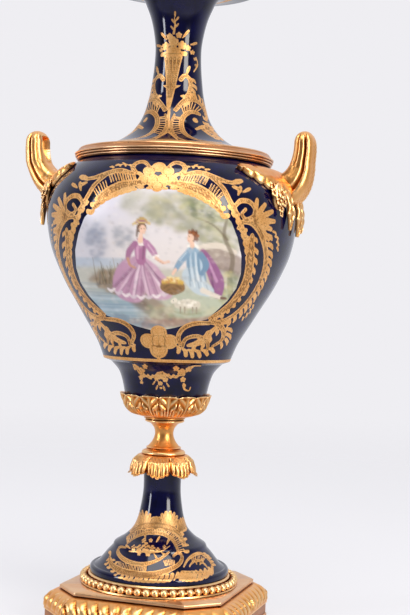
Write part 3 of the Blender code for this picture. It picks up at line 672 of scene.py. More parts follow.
def gilded_porcelain(name, painted):
    """Hard cobalt glaze, deep and wet, under burnished gilding with dull tooling; painted adds the panel."""
    made = bpy.data.materials.new(name)
    made.use_nodes = True
    tree = made.node_tree
    tree.nodes.clear()
    place = add(tree, "ShaderNodeTexCoord").outputs["Object"]
    depth = add(tree, "ShaderNodeAttribute", {"attribute_name": "gold"}).outputs["Fac"]
    line = add(tree, "ShaderNodeAttribute", {"attribute_name": "tool"}).outputs["Fac"]
    wander = add(tree, "ShaderNodeTexNoise", {}, {"Vector": place, "Scale": 1 / (1.1 * MM), "Detail": 3})
    uneven = add(
        tree, "ShaderNodeMath", {"operation": "MULTIPLY_ADD"}, {0: wander.outputs[0], 1: 0.22, 2: -0.11}
    )
    edge = add(tree, "ShaderNodeMath", {"operation": "ADD"}, {0: depth, 1: uneven.outputs[0]})
    gold = add(
        tree, "ShaderNodeMapRange", {}, {"Value": edge.outputs[0], "From Min": -0.05, "From Max": 0.07}
    )
    tooled = add(tree, "ShaderNodeMapRange", {}, {"Value": line, "From Min": -0.08, "From Max": 0.08})
    fleck = add(tree, "ShaderNodeTexNoise", {}, {"Vector": place, "Scale": 1 / (0.6 * MM), "Detail": 2})
    cloud = add(tree, "ShaderNodeTexNoise", {}, {"Vector": place, "Scale": 1 / (7 * MM), "Detail": 2})
    tone = add(tree, "ShaderNodeMath", {"operation": "MULTIPLY_ADD"}, {0: fleck.outputs[0], 1: 0.55, 2: 0.1})
    tone = add(
        tree, "ShaderNodeMath", {"operation": "MULTIPLY_ADD"},
        {0: cloud.outputs[0], 1: 0.3, 2: tone.outputs[0]}
    )
    leaf = ramp(tree, tone.outputs[0], [(0.2, "a86c30"), (0.45, "d99c56"), (0.65, "efbf80"), (0.9, "fde2b6")])
    dark = add(tree, "ShaderNodeMath", {"operation": "MULTIPLY"}, {0: tooled.outputs[0], 1: 0.72})
    chased = add(
        tree,
        "ShaderNodeMix",
        {"data_type": "RGBA"},
        {"Factor": dark.outputs[0], "A": leaf, "B": (*linear("5f3410"), 1)},
    )
    ground = ramp(tree, cloud.outputs[0], [(0.3, "05051c"), (0.7, "090a36")])
    if painted:
        picture = add(tree, "ShaderNodeAttribute", {"attribute_name": "painting"})
        inside = add(tree, "ShaderNodeAttribute", {"attribute_name": "window"}).outputs["Fac"]
        reserve = add(tree, "ShaderNodeMapRange", {}, {"Value": inside, "From Min": -0.1, "From Max": 0.1})
        ground = add(
            tree,
            "ShaderNodeMix",
            {"data_type": "RGBA"},
            {"Factor": reserve.outputs[0], "A": ground, "B": picture.outputs["Color"]},
        ).outputs["Result"]
    color = add(
        tree, "ShaderNodeMix", {"data_type": "RGBA"}, {
            "Factor": gold.outputs[0], "A": ground, "B": chased.outputs["Result"]
        }
    )
    metal = add(tree, "ShaderNodeMath", {"operation": "MULTIPLY"}, {0: gold.outputs[0], 1: 0.6})
    rough = add(tree, "ShaderNodeMapRange", {}, {"Value": gold.outputs[0], "To Min": 0.09, "To Max": 0.4})
    if painted:
        enamel = {0: reserve.outputs[0], 1: 0.2, 2: rough.outputs[0]}
        rough = add(tree, "ShaderNodeMath", {"operation": "MULTIPLY_ADD"}, enamel)
    relief = add(
        tree, "ShaderNodeMath", {"operation": "SUBTRACT"}, {0: gold.outputs[0], 1: tooled.outputs[0]}
    )
    bump = add(
        tree, "ShaderNodeBump", {}, {"Strength": 0.5, "Distance": 0.06 * MM, "Height": relief.outputs[0]}
    )
    shader = add(
        tree,
        "ShaderNodeBsdfPrincipled",
        {},
        {
            "Base Color": color.outputs["Result"],
            "Metallic": metal.outputs[0],
            "Roughness": rough.outputs[0],
            "Normal": bump.outputs[0],
            "IOR": 1.46,
        },
    )
    add(tree, "ShaderNodeOutputMaterial", {}, {"Surface": shader.outputs[0]})
    return made


cobalt_glaze = gilded_porcelain("gilded_cobalt_porcelain", painted=False)
foot_low, foot_high = (corner.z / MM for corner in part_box("foot"))
foot_low -= rim_drop / MM
foot_outline = [
    (9.57, foot_high), (9.4, 71.2), (9.3, 66.2), (9.6, 61.5), (10.35, 56.4), (11.5, 50.9), (13.6, 45.8)
]
foot_outline += [
    (17.4, 41.8), (20.6, 39.7), (22.5, 38.5), (23.1, 37.6), (23.4, 36.8), (24.1, 35.8), (26.3, 33.4)
]
foot_outline += [
    (29.9, 29.0), (31.9, 27.4), (32.5, 27.1), (33.3, 27.3), (34.1, 26.8), (34.5, 26.1), (34.6, 25.2),
    (34.6, foot_low)
]
foot_wall = 3.0
foot_front = math.radians(4.5)
section, foot_line = wall(foot_outline, foot_wall, 0.42)
bm = fine_in_front(section, 150, 330, 90, foot_front)
foot = carried("turned_foot", bm, cobalt_glaze, "cobalt_glaze", "foot")
gilding = Drawing(foot.data, foot_line, foot_front)
# Leafy peaks over a broad mass of leaf
for root, heading, spread, length in (
    (-7, -14, 46, 8.4), (3.6, 10, 40, 9.0), (-1.5, 0, 40, 5.6), (9.4, 36, 40, 6.4)
):
    gilding.shell(root, 46.6 - 0.12 * abs(root + 1.5), heading, spread, 7, length, 2.3)
gilding.shell(-12.5, 43.6, -40, 40, 5, 5.4, 2.2)
crown = [(-15.5, 41.6), (-12, 45.4), (-7, 47.8), (-1, 48.6), (5, 47.8), (9.6, 45.0), (13.0, 40.8)]
gilding.mark(crown, [2.0, 3.2, 3.8, 3.8, 3.6, 2.8, 1.6], (0.6,))
# Comb-edged arch
arch = [(-15.0, 39.4), (-12, 41.8), (-8, 44.0), (-3, 45.2), (2, 45.0), (6.6, 42.8), (9.6, 39.4), (10.4, 37.4)]
arch_top = [
    (-16.6, 41.4), (-13, 44.2), (-8, 46.6), (-3, 47.6), (2.6, 47.4), (8.2, 44.8), (12.0, 40.4), (13.2, 37.6)
]
gilding.mark(arch, [1.0, 1.8, 2.2, 2.0, 1.0], (0.5,))
gilding.comb(arch, arch_top, 38, 0.5)
gilding.fringe([(14.4, 37.0), (12.6, 41.4), (8.8, 45.4), (4.0, 48.4)], 7, 2.6, 1.6, 55)
# Spray of flowers
gilding.flowers(
    ((-5.4, 39.4, 4.2), (-8.6, 38.6, 3.4), (-2.2, 39.0, 3.2), (-11.4, 38.6, 2.6), (-4.0, 36.8, 2.8))
)
gilding.flowers(((-6.8, 41.6, 2.4), (-3.4, 42.0, 2.0), (0.6, 38.6, 2.4), (3.6, 39.8, 1.8), (-8.4, 36.4, 2.0)))
gilding.mark(
    [(-13.6, 36.8), (-10, 37.0), (-6, 37.4), (-1, 37.6), (3, 38.4), (6.2, 40.2)], [0.5, 0.9, 0.9, 0.4]
)
gilding.petals(
    (
        (-13, 38.0, -70), (-1.0, 36.8, 140), (2.4, 37.6, 120), (4.6, 40.6, 20), (-6, 42.4, -20),
        (-0.6, 41.4, 30)
    ),
    2.6, 1.2
)
# Crescent with its comb, and the curl it ends in
crescent = [
    (-15.4, 38.0), (-18.4, 37.6), (-19.6, 35.6), (-17.2, 33.7), (-12, 32.4), (-6, 32.3), (-1, 33.6),
    (3, 35.4), (6, 37.8)
]
gilding.mark(crescent, [0.8, 1.8, 2.4, 2.4, 2.2, 1.6, 0.8], (0.5,))
gilding.comb([(-18, 32.0), (-12, 31.2), (-4, 31.4)], [(-18.6, 30.2), (-12, 29.2), (-4, 29.4)], 20, 0.42)
curl = [
    (-24.0, 33.4), (-22.6, 30.4), (-17, 28.5), (-8, 28.0), (0, 28.6), (7, 30.6), (11.6, 33.0), (12.4, 35.8),
    (10.2, 37.4), (8.4, 36.0)
]
gilding.mark(curl, [0.8, 2.6, 3.8, 4.2, 4.0, 3.6, 3.0, 2.2, 1.6, 1.2], (0.35, 0.7))
gilding.comb([(3.8, 34.2), (6.4, 34.8), (9.2, 34.2)], [(4.8, 32.2), (7.4, 32.4), (9.4, 32.2)], 8, 0.42)
# Flame leaves along the edge
gilding.fringe([(13.5, 28.4), (5, 27.2), (-6, 26.9), (-16, 27.3), (-25.0, 29.8)], 17, 3.0, 1.7, 52)
gilding.fringe([(-24.6, 34.6), (-23.6, 31.4), (-19, 30.6)], 4, 2.6, 1.5, 60)
# Arcs on the right, with leaves beneath
for reach, width in ((0, 1.7), (2.7, 1.3)):
    right_arc = [(13.6 + reach, 31.4), (15.6 + reach * 0.7, 34.6 - reach * 0.6), (20, 36.0 - reach)]
    right_arc += [(24.6 - reach * 0.6, 33.8 - reach * 0.8), (28.2 - reach, 29.0)]
    gilding.mark(right_arc, [0.7, width, width, 0.7], (0,))
gilding.comb([(17.4, 32.4), (20, 33.0), (22.4, 32.0)], [(16.8, 34.6), (20, 35.2), (23.8, 33.6)], 8, 0.42)
gilding.mark([(13.0, 29.6), (19, 28.8), (25.0, 28.4)], [1.0, 2.0, 0.8], (0,))
gilding.fringe([(28.0, 28.4), (21, 27.6), (13, 27.8)], 8, 3.2, 1.7, 60)
gilding.fringe([(22.6, 35.6), (26.4, 33.0), (29.4, 29.6)], 5, 2.2, 1.4, 40)
gilding.petal(19.6, 31.8, -20, 2.6, 1.4)
gilding.petal(21.0, 31.4, 30, 2.4, 1.4)
# The same ornament, plainer, at the back
gilding.shell(0, 45.5, 0, 55, 9, 9.0, 2.8, back=True)
gilding.mark(
    [(-20, 31), (-13, 40), (0, 43.5), (13, 40), (20, 31)], [1.2, 2.2, 2.4, 2.2, 1.2], (0.5,), back=True
)
gilding.mark(
    [(-22, 29.5), (-10, 30.6), (0, 31.2), (10, 30.6), (22, 29.5)], [1.4, 2.8, 3.2, 2.8, 1.4], (0.5,),
    back=True
)
gilding.flower(0, 37, 5.0, back=True)
gilding.flower(-5.5, 36.5, 3.4, back=True)
gilding.flower(5.5, 36.5, 3.4, back=True)
gilding.keep()


# Stem: gilt bronze, turned between the foot and the leaf cup, with a ring and a torus above a skirt of eight
# hanging leaves whose lobed tips curl outwards.
stem_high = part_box("stem")[1].z / MM
skirt_leaves = 8
collar_top = 83.7
stem_section = [
    (0, stem_high), (9.4, stem_high), (9.9, stem_high - 0.5), (9.5, stem_high - 1.2), (7.2, stem_high - 2.0)
]
stem_section += [
    (5.8, stem_high - 3.4), (4.9, stem_high - 5.0), (4.6, stem_high - 7.0), (4.9, stem_high - 8.8)
]
stem_section += [
    (5.9, stem_high - 11.0), (7.6, stem_high - 13.2), (8.3, stem_high - 13.6), (8.8, stem_high - 14.0)
]
stem_section += [
    (8.4, stem_high - 14.5), (9.2, collar_top + 0.9), (10.3, collar_top + 0.5), (10.9, collar_top - 0.3)
]
stem_section += [
    (10.8, collar_top - 1.0), (10.2, collar_top - 1.5), (9.2, collar_top - 1.8), (9.2, 78.6), (0, 78.6)
]
stem_line = [stem_section[0], *smooth_line(stem_section[1:-1], 0.35), stem_section[-1]]
turned_stem = spun([(r * MM, z * MM) for r, z in stem_line], [(2 * math.pi, 96)])
socket = spun(
    [(0, 78.9 * MM), (9.0 * MM, 78.9 * MM), (9.0 * MM, 74.4 * MM), (0, 74.4 * MM)], [(2 * math.pi, 48)]
)


def skirt_points(across, along):
    """The skirt, outside and back again: broad leaves that spread and droop, each of five rolled lobes."""
    turn = across * 2 * math.pi
    inside = along > 0.6
    reach = np.where(inside, (1 - along) / 0.4, along / 0.6)
    half = (turn * skirt_leaves / (2 * math.pi) + 0.5) % 1 - 0.5
    lobe = np.abs((half * 5 + 0.5) % 1 - 0.5) * 2
    middle = step(0.22, 0.1, np.abs(half))
    scallop = np.sqrt(np.clip(1 - lobe**2, 0, 1))
    leaf = np.cos(half * math.pi) ** 0.7
    droop = np.interp(reach, [0, 0.2, 0.45, 0.7, 0.88, 1], [82.7, 82.0, 79.8, 76.8, 74.6, 74.0])
    spread = np.interp(reach, [0, 0.2, 0.45, 0.7, 0.88, 1], [9.6, 12.4, 14.9, 15.7, 15.8, 16.9])
    curl = step(0.72, 1, reach)
    swell = (0.9 * scallop - 0.4) * step(0.35, 0.8, reach) + 1.5 * (leaf - 0.6) * reach
    ribs = 0.16 * np.cos(half * 2 * math.pi * 15) * step(0.05, 0.3, reach) * step(0.7, 0.4, reach)
    valley = 1.6 * np.exp(-(((0.5 - np.abs(half)) / 0.06) ** 2)) * step(0.1, 0.5, reach)
    radius = spread + np.where(inside, 0.4 * swell - 1.0 * (1 - 0.4 * curl), swell + ribs - valley)
    hang = 2.4 * (leaf - 0.5) + 0.5 * middle + 0.8 * (scallop - 0.6)
    height = droop - hang * reach**2 - np.where(inside, 0.3 * (1 - reach), 0.3 * curl * scallop)
    return around(radius, turn, height)


skirt = draped(576, 60, skirt_points)
carried("leafy_stem", joined(turned_stem, socket, skirt), chased_bronze, "gilt_bronze", "stem")


# Leaf cup: gilt bronze, cast with fourteen upright leaves round a bowl, their tips making its scalloped rim.
# The vase's root stands in it.
cup_low, cup_high = (corner.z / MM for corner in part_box("leaf_cup"))
cup_leaves = 14
cup_tall = cup_high - cup_low
cup_outside = [(9.7, 0), (10.3, 0.02), (10.2, 0.06), (11.6, 0.09), (14.6, 0.16), (17.2, 0.29), (19.0, 0.43)]
cup_outside += [
    (20.1, 0.57), (20.9, 0.71), (21.4, 0.83), (22.0, 0.92), (22.7, 0.98), (22.6, 1.0), (21.9, 0.985),
    (21.2, 0.95)
]
cup_inside = [(20.9, 0.9), (20.4, 0.77), (19.6, 0.63), (18.6, 0.5), (15.8, 0.31), (11.3, 0.24)]


def cup_points(across, along):
    """The bowl from its foot over the rim and down inside, with the leaves raised on the outside."""
    line = smooth_line(cup_outside + cup_inside, 0.4 / cup_tall)
    radius, share = on_line(line, along)
    outside = along * (len(line) - 1) <= np.argmax(line[:, 1]) + 2
    turn = across * 2 * math.pi
    half = (turn * cup_leaves / (2 * math.pi)) % 1 - 0.5
    body = step(0.1, 0.24, share)
    off_middle = np.abs(half) * 2
    swell = np.sqrt(np.clip(1 - off_middle**2, 0, 1))
    midrib = 0.5 * np.exp(-((off_middle / 0.12) ** 2))
    rolls = 0.55 * np.cos(2 * math.pi * (3.2 * share - 1.1 * off_middle))
    lobes = rolls * step(0.1, 0.3, off_middle) * step(0.3, 0.5, share)
    flutes = 0.4 * np.cos(2 * math.pi * 3 * off_middle) * step(0.6, 0.4, share)
    seam = 0.9 * np.exp(-(((1 - off_middle) / 0.1) ** 2))
    raised = (0.8 * swell - 0.2 + midrib + lobes + flutes - seam) * body * outside
    lip = step(0.82, 1.0, share)
    scallop = (swell - 1) * 0.9 * lip
    radius = radius + raised * (1 - 0.5 * lip)
    height = cup_low + share * cup_tall + scallop
    return around(radius, turn, height)


cup = draped(14 * 36, 96, cup_points)
cup_middle = 0.5 * MM * (cup_low + cup_high)
open_foot = [edge for edge in cup.edges if edge.is_boundary and edge.verts[0].co.z < cup_middle]
bmesh.ops.holes_fill(cup, edges=open_foot, sides=0)
carried("leaf_bowl", cup, chased_bronze, "gilt_bronze", "leaf_cup")


# Vase body: cobalt porcelain, turned and hollow, with a reserved panel painted in enamels. A rococo frame of
# shells, combed scrolls and acanthus is gilded round it, with a flower garland on the waist under the ledge.
body_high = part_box("body")[1].z / MM
body_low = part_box("body")[0].z / MM
body_outline = [
    (44.8, body_high), (48.0, 226.0), (52.2, 222.4), (56.1, 218.0), (59.3, 212.9), (61.4, 207.3),
    (62.2, 201.2)
]
body_outline += [
    (61.3, 191.9), (59.1, 182.6), (55.6, 174.1), (51.3, 165.5), (46.1, 156.9), (41.0, 148.4), (35.4, 139.1)
]
body_outline += [
    (32.1, 131.4), (32.1, 131.4), (31.9, 130.6), (31.4, 129.7), (31.4, 129.7), (27.9, 128.4), (27.9, 128.4)
]
body_outline += [
    (24.0, 124.1), (22.1, 119.6), (20.7, 113.8), (20.1, 109.8), (18.3, 106.4), (15.5, 104.1), (11.0, body_low)
]
body_wall = 3.0
body_front = math.radians(4.5)
section, body_line = wall(body_outline, body_wall, 0.68)
section += [(8 * MM, (body_low + 4) * MM), (0, (body_low + 4) * MM)]
bm = fine_in_front(section, 132, 282, 118, body_front)
painted_porcelain = gilded_porcelain("gilded_and_painted_porcelain", painted=True)
vase = carried("turned_vase_body", bm, painted_porcelain, "cobalt_glaze", "body")
gilding = Drawing(vase.data, body_line, body_front)
# Marks of a pair lie either side of the middle of the panel
pair = -3.0
# Shell over the panel, with a hooked leaf on either side
for x, z, size in (
    (-6.4, 213.4, 5.6), (6.4, 213.4, 5.6), (-4.2, 218.0, 6.0), (4.2, 218.0, 6.0), (0, 220.0, 6.4)
):
    gilding.disc(pair + x, z, size, (0.72,))
for x, z, size in ((-2.6, 213.6, 6.4), (2.6, 213.6, 6.4), (0, 210.8, 6.0)):
    gilding.disc(pair + x, z, size, (0.72,))
gilding.mark([(pair - 4.5, 209.6), (pair, 210.4), (pair + 4.5, 209.6)], [1.2, 2.6, 1.2], (0.0,))
gilding.mark(
    [(0.8, 219.5), (4.2, 222.4), (7.8, 221.6), (9.0, 219.2), (7.0, 216.9)], [0.9, 2.2, 2.6, 2.2, 1.8], (0.5,),
    pair
)
gilding.mark([(3.0, 213.0), (5.5, 216.5), (9.3, 216.8)], [1.4, 2.0, 1.6], (), pair)
# Upper scroll, combed below, and the leaf that hangs from it
gilding.mark(
    [(8.8, 216.6), (15.3, 218.0), (21.3, 216.6), (27, 214.8), (31, 214.4)], [1.6, 3.0, 3.4, 2.8, 1.6], (0.5,),
    pair
)
gilding.petal(29.5, 213.8, 70, 5.5, 3.0, pair)
gilding.petal(30.5, 212.5, 105, 4.0, 2.2, pair)
gilding.mark([(21, 216), (26.5, 211.5), (30, 205.5), (34, 199.5)], [1.8, 2.6, 2.6, 1.6], (0.5,), pair)
gilding.comb(
    [(6.4, 212.4), (11, 213.4), (15, 213.2), (18.8, 212.2)],
    [(7.4, 215.6), (11, 216.6), (15, 216.8), (20.2, 215.4)], 11, 0.62, pair
)
gilding.comb(
    [(19.6, 208.6), (22.2, 207.0), (24.6, 204.8)], [(21.2, 213.4), (24.2, 211.6), (27.2, 208.0)], 6, 0.62,
    pair
)
upper_leaf = [(4.0, 212.6), (9, 211.6), (14, 210.6), (18.6, 208.4), (22.4, 205.2), (26.2, 200.6)]
gilding.mark(upper_leaf, [2.2, 4.2, 5.0, 5.0, 4.4, 2.2], (0.0, 0.62), pair)
gilding.fringe(
    [(28.8, 197.4), (25.4, 202.0), (20.4, 205.6), (14, 208.4), (9, 209.8), (4, 211.0)], 9, 3.8, 2.3, 55, pair
)
# Volute and palmette at the panel's shoulder
gilding.mark(
    [
        (32.0, 202.5), (34.6, 205.9), (38.6, 206.0), (41.4, 203.2), (41.0, 199.6), (37.8, 197.8),
        (35.6, 199.8), (37.2, 202.2)
    ],
    [1.6, 2.4, 2.6, 2.6, 2.4, 2.0, 1.5, 1.8], (0.55,), pair
)
for heading, length in ((8, 9.8), (33, 9.4), (60, 10.0), (87, 9.8), (112, 9.0), (137, 11.0)):
    gilding.petal(41.0, 197.6, heading, length, 2.9, pair)
gilding.petal(33.5, 208.5, 15, 4.2, 2.2, pair)
gilding.petal(35.5, 210.0, 55, 4.0, 2.0, pair)
# Long scroll down the side, leafy inside and lobed outside
side_scroll = [
    (34.2, 193.4), (36.4, 196.4), (40.4, 196.2), (44.2, 192.4), (46.8, 186), (47.4, 179), (46, 172),
    (43, 165.5)
]
side_scroll += [(39, 159.6), (34.4, 154.6), (29.6, 151.2), (25, 150.0), (22.2, 151.6)]
gilding.mark(side_scroll, [1.6, 2.6, 3.2, 3.4, 3.4, 3.4, 3.3, 3.2, 3.0, 2.8, 2.6, 2.2, 1.8], (0.45,), pair)
gilding.fringe(
    [
        (48.6, 192), (49.4, 185), (49, 177.5), (46.6, 170), (42.4, 162), (36.4, 154.6), (31.0, 150.0),
        (26.5, 147.4)
    ],
    15, 3.6, 2.1, 48, pair
)
inner_leaf = [
    (40.6, 190.5), (40.2, 184), (40.0, 177.5), (38.8, 170.5), (36.0, 164.4), (31.6, 158.4), (26.8, 154.4),
    (23.4, 152.4)
]
gilding.mark(inner_leaf, [2.4, 4.6, 5.2, 5.2, 5.0, 4.6, 3.8, 2.0], (0.6,), pair)
gilding.fringe(
    [(42.2, 190.5), (42.6, 184), (42.2, 177.5), (40.6, 170.5), (38.0, 164.4)], 6, 2.6, 1.8, 40, pair
)
# Leaf edge that laps the panel down each side
panel_edge = [
    (30, 203.5), (34.6, 196.5), (37.6, 189), (39.4, 181), (39.4, 173), (37.2, 165.4), (33, 159.2),
    (27.6, 153.8), (23, 150.2)
]
gilding.mark(panel_edge, [1.4, 2.6, 2.8, 2.8, 2.6, 1.4], (), pair)
gilding.fringe(panel_edge[::-1], 17, 3.0, 2.2, 50, pair)
# Scrolls and hanging shell under the panel
gilding.mark(
    [(21.6, 149.6), (26, 148.8), (28.6, 145.4), (27.6, 141.0), (23.4, 138.0)], [1.8, 2.6, 2.8, 2.4, 1.4],
    (0.5,), pair
)
gilding.disc(21.4, 144.4, 3.2, (0.6,), pair)
gilding.mark(
    [(8.6, 138.6), (7.6, 142.4), (10, 146.4), (15, 148.8), (22, 149.2)], [1.6, 2.4, 2.8, 2.6, 2.0], (0.45,),
    pair
)
gilding.mark(
    [(9.6, 137.4), (11, 141.2), (16, 142.8), (20.4, 140.8), (21.4, 137.2), (20.2, 135.0)],
    [1.4, 2.2, 2.4, 2.2, 1.8, 1.0], (0.5,), pair
)
gilding.fringe([(24.6, 136.6), (18, 134.6), (11, 134.8), (7, 136.4)], 6, 3.2, 1.9, -60, pair)
gilding.fringe([(29.5, 150.5), (31.2, 146), (30.4, 141), (27.0, 137.6)], 5, 2.6, 1.7, 50, pair)
for x, z, size in (
    (-6.6, 139.8, 8.0), (3.4, 139.8, 8.0), (-1.6, 144.0, 7.8), (-1.6, 135.6, 8.6), (-1.6, 139.8, 9.0)
):
    gilding.disc(x, z, size, (0.74,))
gilding.mark([(-1.6, 142.6), (-1.6, 136.6)], [1.2, 1.8], (0.0,))
gilding.mark([(-1.6, 132.4), (-1.6, 130.8)], [2.2, 0.8])
leafy = [(25.6, 148.0), (22.0, 144.2), (17.0, 139.8), (12.0, 138.2)]
gilding.mark(leafy, [1.6, 3.6, 3.8, 1.4], (0.0,), pair)
gilding.fringe([(x + 1.2, z - 1.6) for x, z in leafy], 4, 2.6, 1.9, 50, pair)
# Fine sprigs
for sprig in (
    [(9, 220.0), (14, 221.2), (20, 219.6)], [(50.5, 194), (53.0, 189.6), (53.4, 184.6)],
    [(43.4, 158.6), (41.0, 154.6), (37.0, 151)]
):
    gilding.mark(sprig, [0.5, 0.8, 0.4], (), pair)
    gilding.fringe(sprig, 4, 2.0, 1.0, 40, pair)
# Ledge line and the garland of flowers on the waist
gilding.band(130.4, 1.5, (0.0,))
gilding.flowers(
    ((-13.2, 126.2, 3.4), (-10.6, 124.6, 4.0), (-8.6, 127.0, 3.0), (-10.8, 121.4, 2.6), (-10.5, 119.0, 1.8))
)
gilding.flowers(
    ((6.4, 126.6, 3.2), (9.2, 124.8, 4.2), (12.4, 126.4, 3.2), (9.6, 121.2, 2.8), (10.2, 118.4, 2.0))
)
gilding.flowers(
    ((-1, 122.8, 4.0), (-3.0, 121.4, 2.6), (1.2, 121.0, 2.8), (-1.2, 119.0, 2.4), (-0.8, 116.8, 1.4))
)
gilding.mark(
    [
        (-14.6, 127.6), (-10.0, 123.0), (-5, 122.0), (-1, 124.4), (3.5, 122.6), (8.0, 123.4), (14, 127.8),
        (18, 128.2)
    ],
    [0.8, 1.3, 1.1, 1.4, 1.1, 1.3, 0.8]
)
gilding.petals(((-3.4, 120.4, 215), (1.6, 119.6, 145), (-2.4, 118.2, 200), (0.2, 118.0, 160)), 2.4, 1.0)
gilding.mark([(9.8, 119), (10.4, 116.4), (12.6, 115.8), (13.2, 117.4)], [0.9, 1.0, 0.8, 0.6])
gilding.fringe([(-14.6, 127.6), (-10.0, 123.0), (-5, 122.0), (-1, 124.4)], 6, 2.0, 1.1, -50)
gilding.fringe([(-1, 124.4), (3.5, 122.6), (8.0, 123.4), (14, 127.8)], 6, 2.0, 1.1, -50)
# The back: an oval of scrollwork round a posy, plainer than the front
oval = [(30 * math.sin(t * math.pi / 12), 178 + 27 * math.cos(t * math.pi / 12)) for t in range(25)]
gilding.mark(oval, [2.2, 2.2], (0.5,), back=True)
for lobe in range(32):
    turn = lobe * math.pi / 16
    gilding.petal(31.5 * math.sin(turn), 178 + 28.5 * math.cos(turn), math.degrees(turn), 4.2, 2.8, back=True)
gilding.flowers(
    (
        (0, 180, 9), (-8, 176, 6.5), (8, 177, 6.5), (-4, 170, 5.5), (5, 169, 5.5), (-5, 187, 5.5),
        (6, 187, 5.5)
    ),
    back=True
)
for heading in range(0, 360, 40):
    turn = math.radians(heading)
    gilding.petal(12 * math.sin(turn), 178 + 12 * math.cos(turn), heading, 6.5, 3.2, back=True)
gilding.keep()

# The picture: a shepherdess in rose and her companion in pale blue rest by a pool, under trees. It is laid in
# with soft overlapping brush strokes, in millimetres across and up from the middle of the vase's front.
window_half = [
    (0, 209.5), (12, 209.2), (20, 206.5), (28, 202), (34, 196), (37, 189), (39, 181), (39, 173), (37, 166)
]
window_half += [(33, 160), (28, 155), (24, 151), (17, 149), (9, 146.5), (0, 144.5)]
window_line = [(pair + x, z) for x, z in window_half] + [(pair - x, z) for x, z in window_half[-2:0:-1]]
angle = np.arctan2(gilding.places[:, 0], -gilding.places[:, 1]) - body_front
reach = np.hypot(gilding.places[:, 0], gilding.places[:, 1])
facing = gilding.outside & (np.abs(angle) < 1.2)
across = np.where(facing, reach * np.sin(angle), 999)
up = gilding.places[:, 2]
edge_gap = np.full(len(across), 99.0)
within = np.zeros(len(across), dtype=bool)
for (x0, z0), (x1, z1) in zip(window_line, window_line[1:] + window_line[:1]):
    run = np.array([x1 - x0, z1 - z0])
    share = np.clip(((across - x0) * run[0] + (up - z0) * run[1]) / (run @ run), 0, 1)
    edge_gap = np.minimum(edge_gap, np.hypot(across - x0 - share * run[0], up - z0 - share * run[1]))
    crossing = (up < z0) != (up < z1)
    if z1 != z0:
        within ^= crossing & (across < x0 + (up - z0) * (x1 - x0) / (z1 - z0))
inside_window = np.where(within & facing, edge_gap, -edge_gap)
panel = np.flatnonzero(inside_window > -4)
px, pz = across[panel], up[panel]
paint = np.zeros((len(panel), 3))
brush_rng = np.random.default_rng(7)


def wash(color, cover):
    """Lays a colour over the picture where the cover, from 0 to 1, says."""
    paint[:] = paint + np.clip(cover, 0, 1)[:, None] * (np.array(linear(color)) - paint)


def stroke(points, widths, color, strength=1.0, soft=0.5):
    """One stroke along a smooth line of places, its edge as soft as given, in millimetres."""
    line = smooth_line(points, 0.6) if len(points) > 1 else np.array([points[0], points[0]], dtype=float)
    half = np.interp(np.linspace(0, 1, len(line)), np.linspace(0, 1, len(widths)), widths) / 2
    cover = np.full(len(panel), nowhere)
    for start, end, wide in zip(line, line[1:], half):
        run = end - start
        share = np.clip(((px - start[0]) * run[0] + (pz - start[1]) * run[1]) / max(run @ run, 1e-9), 0, 1)
        cover = np.maximum(
            cover, wide - np.hypot(px - start[0] - share * run[0], pz - start[1] - share * run[1])
        )
    wash(color, strength * step(-soft, soft, cover))


def dot(x, z, width, color, strength=1.0, soft=0.5):
    """One round touch of the brush."""
    stroke([(x, z)], [width, width], color, strength, soft)


def dabs(x, z, wide, tall, count, size, colors, strength=0.5):
    """A cloud of soft dabs, for leaves, grass and far trees."""
    for dab in range(count):
        turn = brush_rng.uniform(0, 2 * math.pi)
        out = math.sqrt(brush_rng.uniform(0, 1))
        spot_x = x + wide * out * math.cos(turn)
        spot_z = z + tall * out * math.sin(turn)
        spread = size * brush_rng.uniform(0.6, 1.4)
        gap = np.hypot((px - spot_x) / spread, (pz - spot_z) / (spread * 0.7))
        wash(colors[dab % len(colors)], strength * np.exp(-(gap**2)))


# Sky, far shore and trees
flesh, flesh_shade = "e4bda4", "bf8f78"
wash("cfcbd2", np.ones(len(panel)))
wash("dcd3cd", step(206, 180, pz) * 0.8)
wash("bcbecb", step(-16, -38, px) * 0.5)
dabs(-26, 203, 14, 6, 24, 5, ["ded7df", "c9c8d4", "e5dfe2"], 0.4)
dabs(-8, 202, 10, 7, 40, 2.8, ["bdb9ac", "a9a798", "c8c0b4"], 0.4)
dabs(12, 200, 22, 9, 260, 1.9, ["98987e", "b0ab8c", "7d8069", "bfb793", "8e8a72"], 0.34)
dabs(26, 190, 10, 10, 150, 1.7, ["868c6e", "a8a684", "bab48f", "72755c"], 0.36)
dabs(-31, 185, 5, 8, 70, 1.5, ["8b91a0", "797f92", "9ea1ac"], 0.34)
dabs(-18, 187, 5, 5, 50, 1.4, ["979aa2", "a9a8aa", "868a96"], 0.32)
wash("9fb0bd", step(178.5, 177.0, pz) * step(-8, -16, px) * 0.6)
wash("b9b5a2", step(175, 172, pz) * 0.8)
